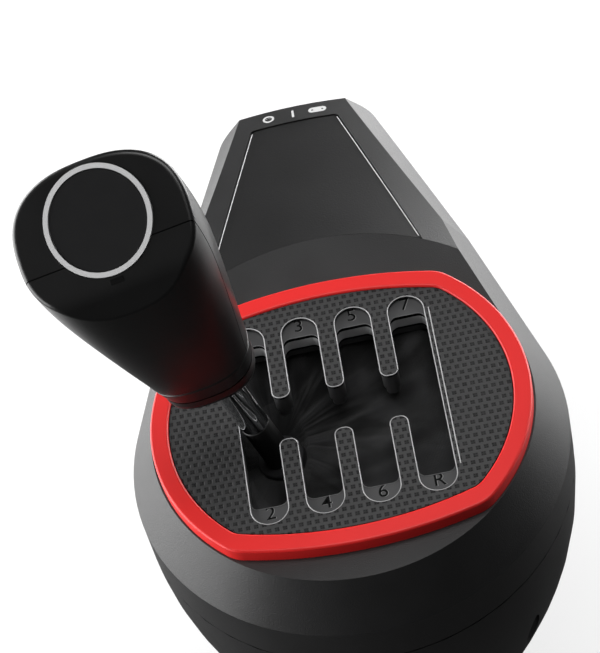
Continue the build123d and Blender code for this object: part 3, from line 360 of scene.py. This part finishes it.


# Thin black gaiter cloth: plain weave of fine threads, with folds that fan out from the lever. The fold tops are
# painted lighter as painted highlight and the hollows darker as painted shade.
def clothFinish():
    paint = Paint("gaiterCloth", clothLook)
    x, y, z = paint.axes()
    turns = 2 * math.pi / clothLook["thread"]
    weave = (x * turns).sine() * (y * turns).sine()
    nap = paint.noise(clothLook["nap"], 3)
    worn = paint.noise(clothLook["worn"], 2)
    footX, footY = clothLook["foot"]
    across, along = x - footX, y - footY
    reach = (across * across + along * along).root()
    spread = {0: along.turnFrom(across) * clothLook["fan"], 1: reach / clothLook["foldLength"], 2: 0.0}
    fan = paint.node("ShaderNodeCombineXYZ", sockets=spread)
    creases = {"Vector": fan, "Scale": 1.0, "Detail": 2.0, "Distortion": 0.7}
    folds = paint.node("ShaderNodeTexNoise", sockets=creases, out="Fac")
    drape = paint.noise(clothLook["drape"], 1.5, 0.45, (1, 0.45, 1))
    folds = 0.5 + (folds - 0.5) * paint.fade(reach, *clothLook["gathered"]) + (drape - 0.5) * 0.55
    ridge = paint.fade(folds, 0.42, 0.62)
    # Painted highlight on the fold tops and painted shade between them, with a little random nap
    paint.tone(ridge * 0.8 + nap * 0.2, clothLook["colour"], clothLook["foldShade"], clothLook["litCrest"])
    paint.set("Roughness", clothLook["roughness"] + worn * 0.15 + nap * 0.1)
    paint.relief(weave * 0.03 + nap * 0.04 + folds, clothLook["depth"])
    return paint.material


threadLook = {
    "colour": (0.03, 0.03, 0.031),
    "roughness": 0.3,
    "metal": 0.6,
    "axis": (0.0, 99 * mm),
    "pitch": 3 * mm,
    "depth": 1.2 * mm,
    "oil": 2.5 * mm,
}


# Blackened steel with a square-shouldered thread wound round the clamp screw's axis. The thread is only a bump, so
# its crests are painted lighter as painted highlight and its grooves darker as painted shade.
def threadFinish():
    paint = Paint("threadedSteel", threadLook)
    x, y, z = paint.axes()
    axisX, axisY = threadLook["axis"]
    turn = (y - axisY).turnFrom(x - axisX)
    phase = (z / threadLook["pitch"] + turn / (2 * math.pi)) % 1
    litCrest = paint.fade(abs(phase - 0.5), 0.16, 0.34)
    oil = paint.noise(threadLook["oil"], 3)
    # Painted highlight on the crests and painted shade in the grooves, with random oily tone
    paint.tone(litCrest * 0.7 + oil * 0.3, threadLook["colour"], 0.3, 1.6)
    paint.set("Roughness", threadLook["roughness"] + oil * 0.12)
    paint.relief(litCrest, threadLook["depth"])
    return paint.material


plainLooks = {
    "paleInk": {"colour": (0.5, 0.5, 0.5), "roughness": 0.5},
    # Painted shade: near black laid in the frame's gaps, the digits' grooves and the cap's notch
    "paintedShade": {"colour": (0.003, 0.003, 0.003), "roughness": 0.6, "specular": 0.06},
    # Painted highlights: the lit edge beside each digit, the lit shelf edges, the frame's wall painted lighter than
    # its own colour, and the lit lips of the slots, side rail and panel
    "digitHighlight": {"colour": (0.2, 0.2, 0.2), "roughness": 0.35},
    "shelfHighlight": {"colour": (0.11, 0.11, 0.112), "roughness": 0.35},
    "litFrameWall": {"colour": (0.5, 0.5, 0.505), "roughness": 0.4},
    "edgeHighlight": {"colour": (0.36, 0.36, 0.365), "roughness": 0.3},
    # Painted reflection: a pale, partly metallic colour for the cap ring, in place of the bright light its plating
    # reflects
    "brightRing": {
        "colour": (0.85, 0.85, 0.855),
        "roughness": 0.22,
        "metal": 0.4,
        "coat": 0.4,
        "coatRoughness": 0.08,
    },
}
plainGrain = {"size": 0.5 * mm, "depth": 0.01 * mm}


# Ink, and painted shade and painted highlights for gaps, grooves, walls and edges: one even colour with a fine
# grain
def plainFinish(name):
    look = plainLooks[name]
    paint = Paint(name, look)
    grain = paint.noise(plainGrain["size"], 2)
    paint.tone(grain, look["colour"], 0.9, 1.1)
    paint.set("Roughness", look["roughness"] - 0.03 + grain * 0.06)
    paint.relief(grain, plainGrain["depth"])
    return paint.material


finishes = {name: mouldedFinish(name) for name in mouldedLooks}
finishes.update({name: metalFinish(name) for name in metalLooks})
finishes.update({name: plainFinish(name) for name in plainLooks})
finishes["ring"] = ringFinish()
finishes["gate"] = gateFinish()
finishes["chrome"] = chromeFinish()
finishes["gloss"] = glossFinish()
finishes["cloth"] = clothFinish()
finishes["thread"] = threadFinish()
print("finishes made")

slotFinishes = {
    "housing": "housing",
    "panel": "panel",
    "ring_red": "ring",
    "gate_grey": "gate",
    "gate_body": "gateBody",
    "gaiter_cloth": "cloth",
    "steel": "darkSteel",
    "cradle_alloy": "alloy",
    "chrome": "chrome",
    "bronze": "bronze",
    "rubber": "rubber",
    "board": "board",
    "socket_metal": "plated",
    "socket_black": "socketBlack",
    "magnet": "plated",
    "knob_black": "knob",
    "wheel_black": "wheel",
    "screws": "plated",
}


def dress(thing, finish):
    thing.data.materials.clear()
    thing.data.materials.append(finishes[finish])


for part in frame["record"]["subparts"]:
    dress(nodes[part["node"]], slotFinishes[part["material_slot"]])
dress(nodes["cap_disc"], "gloss")
# Painted reflection: the cap ring is given a pale colour in place of the light its plating reflects
dress(nodes["cap_ring"], "brightRing")
dress(nodes["clamp_screw"], "thread")
print("CAD nodes dressed")


# Making pieces
def addMesh(name, mesh, finish, body, slot, smooth=True):
    thing = bpy.data.objects.new(name, mesh)
    bpy.context.scene.collection.objects.link(thing)
    dress(thing, finish)
    if smooth:
        mesh.shade_smooth()
    if body:
        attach(thing, body)
    return thing


def fromPoints(name, points, faces, *rest):
    mesh = bpy.data.meshes.new(name)
    mesh.from_pydata(points, [], faces)
    return addMesh(name, mesh, *rest)


# Faces of a tube whose points come ring by ring, count to a ring
def tubeFaces(rows, count):
    faces = []
    for row in range(rows):
        near, far = row * count, (row + 1) * count
        for step in range(count):
            after = (step + 1) % count
            faces.append((near + step, near + after, far + after, far + step))
    return faces


# A flat spot turned about the origin
def turned(spot, turn):
    cosine, sine = math.cos(turn), math.sin(turn)
    return Vector((spot.x * cosine - spot.y * sine, spot.x * sine + spot.y * cosine))


# A closed outline through corners (x, y, radius), its round stretches as arcs
def roundedOutline(corners, steps=8):
    outline = []
    count = len(corners)
    for index, (x, y, radius) in enumerate(corners):
        corner = Vector((x, y))
        before = (Vector(corners[index - 1][:2]) - corner).normalized()
        after = (Vector(corners[(index + 1) % count][:2]) - corner).normalized()
        half = before.angle(after) / 2
        centre = corner + (before + after).normalized() * radius / math.sin(half)
        first = corner + before * radius / math.tan(half) - centre
        sweep = math.pi - 2 * half
        turn = 1 if before.cross(after) < 0 else -1
        for step in range(steps + 1):
            outline.append(centre + turned(first, turn * sweep * step / steps))
    return outline


# A thin bead through points (x, y, z), closed or open
def bead(name, spots, thickness, finish, closed=True):
    curve = bpy.data.curves.new(name, "CURVE")
    curve.dimensions = "3D"
    curve.bevel_depth = thickness / 2
    curve.bevel_resolution = 2
    curve.use_fill_caps = True
    spline = curve.splines.new("POLY")
    spline.points.add(len(spots) - 1)
    for point, spot in zip(spline.points, spots):
        point.co = (*spot, 1)
    spline.use_cyclic_u = closed
    thing = bpy.data.objects.new(name, curve)
    bpy.context.scene.collection.objects.link(thing)
    dress(thing, finish)
    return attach(thing, "root")


# Height of a node's surface under a point, cast straight down
def dropOn(node, x, y):
    hit, spot, normal, face = nodes[node].ray_cast(Vector((x, y, 0.4)), Vector((0, 0, -1)))
    return spot.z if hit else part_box(node)[1].z


# A filled shape with holes, laid on a surface from above, a hair proud of it
def printOn(name, loops, node, finish, slot, proud=0.05 * mm):
    curve = bpy.data.curves.new(name + "Loops", "CURVE")
    curve.dimensions = "2D"
    curve.fill_mode = "BOTH"
    for loop in loops:
        spline = curve.splines.new("POLY")
        spline.points.add(len(loop) - 1)
        for point, spot in zip(spline.points, loop):
            point.co = (spot[0], spot[1], 0, 1)
        spline.use_cyclic_u = True
    source = bpy.data.objects.new(name + "Loops", curve)
    mesh = bpy.data.meshes.new_from_object(source)
    mesh.name = name
    bpy.data.objects.remove(source)
    for vertex in mesh.vertices:
        vertex.co.z = dropOn(node, vertex.co.x, vertex.co.y) + proud
    return addMesh(name, mesh, finish, "root", slot, smooth=False)


def circleLoop(x, y, radius, steps=32):
    turns = [2 * math.pi * step / steps for step in range(steps)]
    return [(x + radius * math.cos(turn), y + radius * math.sin(turn)) for turn in turns]


gate = {
    "columns": [-28.5 * mm, -9.5 * mm, 9.5 * mm, 28.5 * mm],
    "halfSlot": 6.5 * mm,
    "halfLength": 42 * mm,
    "halfChannel": 9 * mm,
    "endRadius": 6.38 * mm,
    "fingerRadius": 2.6 * mm,
    "top": 158 * mm,
    "shelf": 156.6 * mm,
    "lip": 0.38 * mm,
    "digitHeight": 5.3 * mm,
    "digitReach": (-37.0 * mm, 39.2 * mm),
    "digits": ("246R", "1357"),
}


# The slots' outline, once round
def slotOutline(grow=0.0):
    half, end, channel = gate["halfSlot"] + grow, gate["halfLength"] + grow, gate["halfChannel"] + grow
    tip, finger = gate["endRadius"], gate["fingerRadius"]
    corners = []
    for index, column in enumerate(gate["columns"]):
        if index:
            corners.append((column - half, channel, finger))
        corners += [(column - half, end, tip), (column + half, end, tip)]
        if index < 3:
            corners.append((column + half, channel, finger))
    below = [(x, -y, radius) for x, y, radius in reversed(corners)]
    return roundedOutline(corners + below)


# Painted highlight: pale beads along the slot edges and the side rail, where the edges catch the light
lipSpots = [(spot.x, spot.y, gate["top"] - 0.1 * mm) for spot in slotOutline(-0.05 * mm)]
bead("slotLip", lipSpots, gate["lip"], "edgeHighlight")
rail = {"x": 36.5 * mm, "reach": (-33 * mm, 35 * mm), "thickness": 0.4 * mm}
railSpots = [(rail["x"], y, gate["top"] - 0.05 * mm) for y in rail["reach"]]
bead("sideRail", railSpots, rail["thickness"], "edgeHighlight", closed=False)

slotEnd = {
    "reach": 34.5 * mm,
    "corner": 3.0 * mm,
    "inset": 0.06 * mm,
    "gaps": ((155.2 * mm, 156.55 * mm), (150.0 * mm, 150.9 * mm)),  # shadow gaps over and under the frame
    "wall": (151.0 * mm, 155.1 * mm),
    "edge": 0.3 * mm,
    "margin": 0.5 * mm,  # of each open end, left out of the strips
}


# Walls of the frame under the numbered shelves: dark strips above and below as painted shade, the wall painted
# lighter than the frame as painted light, and a pale bead on the shelf's edge as painted highlight
def slotEnds(column, side):
    half, reach = gate["halfSlot"] - slotEnd["inset"], slotEnd["reach"] - slotEnd["inset"]
    corner, sharp = slotEnd["corner"], 0.1 * mm
    low = reach - 2 * corner
    corners = [(-half, low, sharp), (-half, reach, corner), (half, reach, corner), (half, low, sharp)]
    wall = [spot for spot in roundedOutline(corners) if spot.y > low + slotEnd["margin"]]
    count = len(wall)
    faces = [(step, step + 1, count + step + 1, count + step) for step in range(count - 1)]
    label = f"{gate['columns'].index(column)}_{side + 1}"
    # Painted shade in the gaps and painted light on the wall
    strips = [(gap, "paintedShade") for gap in slotEnd["gaps"]] + [(slotEnd["wall"], "litFrameWall")]
    for index, (heights, finish) in enumerate(strips):
        points = [(column + spot.x, side * spot.y, height) for height in heights for spot in wall]
        fromPoints(f"frameStrip{index}_{label}", points, faces, finish, "root", "gate_body")
    edge = [(column + spot.x, side * (spot.y + slotEnd["inset"]), gate["shelf"]) for spot in wall]
    bead(f"shelfHighlight_{label}", edge, slotEnd["edge"], "shelfHighlight", closed=False)


for column in gate["columns"]:
    slotEnds(column, -1)
    slotEnds(column, 1)


# Each layer: its shift, its height over the shelf and its finish; the first is painted shade in the groove, the
# second a painted highlight on its lit edge
digitLayers = ((0.0, 0.05 * mm, "paintedShade"), (0.24 * mm, 0.02 * mm, "digitHighlight"))
digitForm = {"thickness": 0.02 * mm, "weight": 0.02 * mm, "share": 0.73}  # share: a digit's height in its type size


# Engraved number drawn as painted shade, with a painted highlight for the lit edge of its groove just beside it
def digit(sign, x, y):
    words = bpy.data.curves.new("digit" + sign, "FONT")
    words.body = sign
    words.size = gate["digitHeight"] / digitForm["share"]
    words.align_x, words.align_y = "CENTER", "CENTER"
    words.extrude, words.offset = digitForm["thickness"], digitForm["weight"]
    for layer, (shift, height, finish) in enumerate(digitLayers):
        thing = bpy.data.objects.new(f"digit{sign}_{layer}", words.copy())
        bpy.context.scene.collection.objects.link(thing)
        thing.location = (x + shift, y - shift * 0.4, gate["shelf"] + height)
        dress(thing, finish)
        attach(thing, "root")


for reach, signs in zip(gate["digitReach"], gate["digits"]):
    for column, sign in zip(gate["columns"], signs):
        digit(sign, column, reach)
print("gate lips and digits made")

ports = {
    "round": (-9.8 * mm, 2.3 * mm, 1.4 * mm),  # place, outer and inner radius
    "dot": 0.2 * mm,
    "dotReach": 0.75 * mm,
    "dotTurns": (0.5, 1.57, 2.64),
    "bar": (0.0, 0.45 * mm, 2.35 * mm),  # place, half width and half length
    "pill": (9.8 * mm, 3.6 * mm, 1.75 * mm),  # place, half width and end radius
    "pillHole": 0.45 * mm,
    "reach": 166.6 * mm,
}


def portSign(name, loops):
    printOn(name, loops, "top_shell", "paleInk", "housing")


# The three signs follow the curved back edge of the nose
def portSigns():
    x, outer, inner = ports["round"]
    y = math.sqrt(ports["reach"] ** 2 - x**2)
    loops = [circleLoop(x, y, outer), circleLoop(x, y, inner)]
    for turn in ports["dotTurns"]:
        dotX, dotY = x + ports["dotReach"] * math.cos(turn), y + ports["dotReach"] * math.sin(turn)
        loops.append(circleLoop(dotX, dotY, ports["dot"], 12))
    portSign("roundPortSign", loops)

    x, halfWide, halfLong = ports["bar"]
    left, right = x - halfWide, x + halfWide
    low, high = ports["reach"] - halfLong, ports["reach"] + halfLong
    portSign("portBar", [[(left, low), (right, low), (right, high), (left, high)]])

    x, halfWide, radius = ports["pill"]
    place = Vector((x, math.sqrt(ports["reach"] ** 2 - x**2)))
    turn = -x / ports["reach"]
    corners = ((-halfWide, -radius), (-halfWide, radius), (halfWide, radius), (halfWide, -radius))
    outline = roundedOutline([(*corner, radius * 0.98) for corner in corners])
    loops = [[place + turned(spot, turn) for spot in outline]]
    for side in (-1, 1):
        spot = place + turned(Vector((side * (halfWide - radius) * 1.1, 0)), turn)
        loops.append(circleLoop(spot.x, spot.y, ports["pillHole"], 16))
    portSign("pillPortSign", loops)


portSigns()
din = {
    "place": (-9.8 * mm, 109.6 * mm),  # across and up
    "reach": (157.4 * mm, 162.5 * mm),
    "circle": 2.5 * mm,
    "pin": 0.75 * mm,
    "pins": 6,
    "sweep": (-45, 270),  # first pin's angle and the angle to the last
}
for pin in range(din["pins"]):
    turn = math.radians(din["sweep"][0] + din["sweep"][1] * pin / (din["pins"] - 1))
    x = din["place"][0] + din["circle"] * math.cos(turn)
    z = din["place"][1] + din["circle"] * math.sin(turn)
    spots = [(x, y, z) for y in din["reach"]]
    bead(f"dinPin{pin}", spots, din["pin"], "bronze", closed=False)
print("port signs and pins made")

panelEdge = {
    "back": (17.1 * mm, 158.7 * mm),
    "front": (38.6 * mm, 72.5 * mm),
    "probe": 0.5 * mm,  # the height is taken this far inside the edge
    "inset": 0.15 * mm,
    "proud": 0.02 * mm,
    "thickness": 0.42 * mm,
    "steps": 24,
}


# The panel's side edges are bevelled and catch the light as two thin lines
def panelLine(side):
    (backX, backY), (frontX, frontY) = panelEdge["back"], panelEdge["front"]
    spots = []
    for step in range(panelEdge["steps"] + 1):
        share = step / panelEdge["steps"]
        x, y = backX + (frontX - backX) * share, backY + (frontY - backY) * share
        height = dropOn("nose_panel", side * (x - panelEdge["probe"]), y)
        spots.append((side * (x - panelEdge["inset"]), y, height + panelEdge["proud"]))
    name = "panelLineLeft" if side < 0 else "panelLineRight"
    # Painted highlight: a pale bead along the bevelled edge
    bead(name, spots, panelEdge["thickness"], "edgeHighlight", closed=False)


panelLine(-1)
panelLine(1)
print("panel lines made")

gaiter = {
    "rimHalf": (39.3 * mm, 37.9 * mm),
    "rimHeight": 147.2 * mm,
    "rimSquareness": 5,
    "ringHalf": (11 * mm, 23 * mm),
    "ringPlace": (-24.5 * mm, 0.0),
    "ringHeight": 137.5 * mm,
    "neckPlace": (-23.85 * mm, 0.0),
    "neckRadius": 7.9 * mm,
    "neckHeight": 134.2 * mm,
    "around": 180,
    "fold": 0.9 * mm,
    "sag": 0.32 * mm,
    "twist": 0.5,
    "funnelWaves": [(5, 0.4, 0.5), (9, 1.9, 0.6), (14, 0.9, 0.6), (23, 2.2, 0.3), (31, 4.0, 0.18)],
    "coneWaves": [(4, 1.0, 0.5), (7, 2.0, 0.5), (11, 0.3, 0.4)],  # count, phase and weight of each
    "funnelCut": (0.3, 0.036),
    "coneCut": (0.113, 0.01),
}


def ripple(turn, waves):
    return sum(weight * math.sin(count * turn + phase) for count, phase, weight in waves)


def roundTurns():
    return [2 * math.pi * step / gaiter["around"] for step in range(gaiter["around"])]


# Spot on the sewn ring between the two sheets of cloth
def sewnRing(turn):
    (placeX, placeY), (halfX, halfY) = gaiter["ringPlace"], gaiter["ringHalf"]
    return Vector((placeX + halfX * math.cos(turn), placeY + halfY * math.sin(turn)))


# Outer funnel from the gate's rim in to the sewn ring; on the shifter that ring moves with the cradle, but this
# funnel is built fixed in place
def outerGaiter(rows=16):
    points = []
    power, drop = gaiter["rimSquareness"], gaiter["ringHeight"] - gaiter["rimHeight"]
    for row in range(rows + 1):
        share = row / rows
        swell = math.sin(math.pi * share)
        for turn in roundTurns():
            cosine, sine = math.cos(turn), math.sin(turn)
            square = (abs(cosine) ** power + abs(sine) ** power) ** (-1 / power)
            rim = Vector((gaiter["rimHalf"][0] * cosine * square, gaiter["rimHalf"][1] * sine * square))
            spot = rim.lerp(sewnRing(turn), share)
            folds = gaiter["fold"] * ripple(turn + gaiter["twist"] * share, gaiter["funnelWaves"])
            height = gaiter["rimHeight"] + drop * share + swell * (folds - gaiter["sag"])
            points.append((spot.x, spot.y, min(height, gaiter["rimHeight"])))
    faces = tubeFaces(rows, gaiter["around"])
    thing = fromPoints("gaiterFunnel", points, faces, "cloth", None, "gaiter_cloth")
    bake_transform(thing)
    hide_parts("gaiter")
    return thing


# Inner cone from the sewn ring down to the lever's neck
def innerGaiter(rows=8):
    points = []
    placeX, placeY = gaiter["neckPlace"]
    drop = gaiter["neckHeight"] - gaiter["ringHeight"]
    for row in range(rows + 1):
        share = row / rows
        swell = math.sin(math.pi * share) * 0.35
        for turn in roundTurns():
            neckX = placeX + gaiter["neckRadius"] * math.cos(turn)
            neckY = placeY + gaiter["neckRadius"] * math.sin(turn)
            spot = sewnRing(turn).lerp(Vector((neckX, neckY)), share)
            folds = gaiter["fold"] * ripple(turn, gaiter["coneWaves"])
            points.append((spot.x, spot.y, gaiter["ringHeight"] + drop * share + swell * folds))
    faces = tubeFaces(rows, gaiter["around"])
    thing = fromPoints("gaiterCone", points, faces, "cloth", None, "gaiter_cloth")
    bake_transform(thing)
    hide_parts("gaiter")
    return thing


for cloth, cut in ((outerGaiter(), gaiter["funnelCut"]), (innerGaiter(), gaiter["coneCut"])):
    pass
print("gaiter made")

sleeve = {
    "pivot": Vector((0, 0, 31.3 * mm)),
    "axis": Vector((-0.2256, 0, 0.9742)),
    "heights": (104.6, 105.2, 106, 107.6, 112, 117, 130.2, 130.8, 130.8),  # in mm, along the lever
    "radii": (7.2, 7.2, 6.0, 5.5, 5.3, 5.14, 5.14, 5.1, 4.9),
    "around": 48,
    "ribs": 12,
    "ribDepth": 0.04,
}


# Ribbed sleeve that carries the cloth up the foot of the lever
def leverSleeve():
    axis = sleeve["axis"]
    side = Vector((0, 1, 0))
    front = side.cross(axis)
    count = sleeve["around"]
    points = []
    for height, radius in zip(sleeve["heights"], sleeve["radii"]):
        for step in range(count):
            turn = 2 * math.pi * step / count
            grown = radius + sleeve["ribDepth"] * math.sin(sleeve["ribs"] * turn)
            spot = side * math.sin(turn) + front * math.cos(turn)
            points.append(sleeve["pivot"] + axis * height * mm + spot * grown * mm)
    faces = tubeFaces(len(sleeve["heights"]) - 1, count)
    return fromPoints("leverSleeve", points, faces, "sleeve", "lever", "gaiter_cloth")


leverSleeve()
print("sleeve made")

notch = {
    "tilt": math.radians(35.5),  # of the knob's face
    "height": 251.2 * mm,  # of the cap's middle along the lever
    "setback": 1.8 * mm,
    "reach": 19.3 * mm,
    "size": (4.4 * mm, 1.8 * mm),
    "proud": 0.12 * mm,
}


# Dark patch at the cap ring's lower edge, painted shade for the notch where the cap is levered out
def capNotch():
    axis, back = sleeve["axis"], Vector((0, 1, 0))
    across = back.cross(axis)
    down = -back * math.cos(notch["tilt"]) - axis * math.sin(notch["tilt"])
    out = across.cross(down).normalized()
    if out.z < 0:
        out = -out
    centre = sleeve["pivot"] + axis * notch["height"] - back * notch["setback"]
    half, tall = notch["size"][0] / 2, notch["size"][1] / 2
    points = []
    for stepAcross, stepDown in ((-1, -1), (1, -1), (1, 1), (-1, 1)):
        spot = centre + across * half * stepAcross + down * (notch["reach"] + tall * stepDown)
        hit, surface, normal, face = nodes["knob_front"].ray_cast(spot + out * 15 * mm, -out)
        points.append((surface if hit else spot) + out * notch["proud"])
    return fromPoints("capNotch", points, [(0, 1, 2, 3)], "paintedShade", "lever", "knob_black")


capNotch()
print("cap notch made")

# Floor, lamps and camera
floorLook = {
    "colour": (0.86, 0.86, 0.86),
    "roughness": 0.9,
    # The floor's colour as the object sees it: near black close by and in front, as painted shade, and paler
    # further out behind, as a painted pool of light; that paler patch is only floor colour
    "shaded": (0.05, 0.05, 0.05),  # what the object sees of the floor close by
    "litPatch": (0.7, 0.7, 0.7),  # and from the white card behind it
    "litPatchStart": (0.15, 0.25),
    "litPatchFront": (-0.12, 0.06),
    "veil": 0.7,  # share of plain white over the floor's own shade
    "veilFull": (0.3, 0.9),
    "size": 6.0,
}


def floorFinish():
    paint = Paint("paleFloor", floorLook)
    patches = paint.noise(0.4, 2)
    seen = paint.node("ShaderNodeLightPath", out="Is Camera Ray")
    x, y, z = paint.axes()
    away = (x * x + y * y).root()
    # Where the painted pool of light lies on the floor: far out and behind the object
    behind = paint.fade(away, *floorLook["litPatchStart"]) * paint.fade(y, *floorLook["litPatchFront"])
    felt = paint.mix(behind, floorLook["shaded"], floorLook["litPatch"])
    paint.set("Base Color", paint.mix(seen * (0.97 + patches * 0.05), felt, floorLook["colour"]))
    veil = floorLook["veil"] + paint.fade(away, *floorLook["veilFull"]) * (1 - floorLook["veil"])
    white = {"Color": (1, 1, 1, 1), "Strength": 1.0}
    glow = paint.node("ShaderNodeEmission", sockets=white, out="Emission")
    blend = paint.node("ShaderNodeMixShader", sockets={0: seen * veil}, out="Shader")
    mixer = blend.socket.node
    paint.tree.links.new(paint.shader.outputs[0], mixer.inputs[1])
    paint.tree.links.new(glow.socket, mixer.inputs[2])
    paint.tree.links.new(mixer.outputs[0], paint.tree.nodes["Material Output"].inputs[0])
    return paint.material


finishes["floor"] = floorFinish()
far = floorLook["size"] / 2
floorMesh = bpy.data.meshes.new("floor")
floorMesh.from_pydata([(-far, -far, 0), (far, -far, 0), (far, far, 0), (-far, far, 0)], [], [(0, 1, 2, 3)])
floor = bpy.data.objects.new("floor", floorMesh)
bpy.context.scene.collection.objects.link(floor)
dress(floor, "floor")

lamps = {
    "left": {"place": (-0.6, 0.16, 0.26), "aim": (0, 0.05, 0.12), "size": (1.2, 0.5), "radiance": 6.8},
    "right": {"place": (0.52, 0.6, 0.24), "aim": (0.02, 0.06, 0.1), "size": (0.8, 0.48), "radiance": 10.0},
    "above": {"place": (0.04, 0.1, 1.15), "aim": (0, 0, 0.12), "size": (0.8, 0.45), "radiance": 4.5},
    "driver": {"place": (0.2, -0.5, 1.6), "aim": (0, 0, 0.1), "size": (0.6, 0.6), "radiance": 0.7},
}


for name, lamp in lamps.items():
    light = bpy.data.lights.new(name, "AREA")
    light.shape = "RECTANGLE"
    light.size, light.size_y = lamp["size"]
    light.energy = lamp["radiance"] * math.pi * light.size * light.size_y
    thing = bpy.data.objects.new(name, light)
    bpy.context.scene.collection.objects.link(thing)
    place = Vector(lamp["place"])
    thing.location = place
    thing.rotation_euler = (Vector(lamp["aim"]) - place).to_track_quat("-Z", "Y").to_euler()

roomLook = {"seen": 1.0, "felt": 0.08}  # strength that the camera sees, and that the object is lit by
world = bpy.data.worlds.new("room")
bpy.context.scene.world = world
world.use_nodes = True
worldTree = world.node_tree
path = worldTree.nodes.new("ShaderNodeLightPath")
level = worldTree.nodes.new("ShaderNodeMapRange")
level.inputs["To Min"].default_value = roomLook["felt"]
level.inputs["To Max"].default_value = roomLook["seen"]
worldTree.links.new(path.outputs["Is Camera Ray"], level.inputs["Value"])
backdrop = worldTree.nodes["Background"]
backdrop.inputs["Color"].default_value = (1, 1, 1, 1)
worldTree.links.new(level.outputs[0], backdrop.inputs["Strength"])
bpy.context.scene.view_settings.view_transform = "Standard"

view = {
    "lens": 144,
    "sensor": 36,
    "clip": (0.05, 30),
    "rows": (
        (0.97807, 0.20182, 0.05138, 0.0344),
        (-0.12458, 0.76474, -0.63219, -0.4939),
        (-0.16688, 0.61192, 0.77311, 0.8085),
        (0, 0, 0, 1),
    ),
}
camera = bpy.data.cameras.new("camera")
camera.sensor_fit = "HORIZONTAL"
camera.sensor_width = view["sensor"]
camera.lens = view["lens"]
camera.clip_start, camera.clip_end = view["clip"]
eye = bpy.data.objects.new("camera", camera)
bpy.context.scene.collection.objects.link(eye)
eye.matrix_world = Matrix(view["rows"])
bpy.context.scene.camera = eye
print("lamps and camera set")
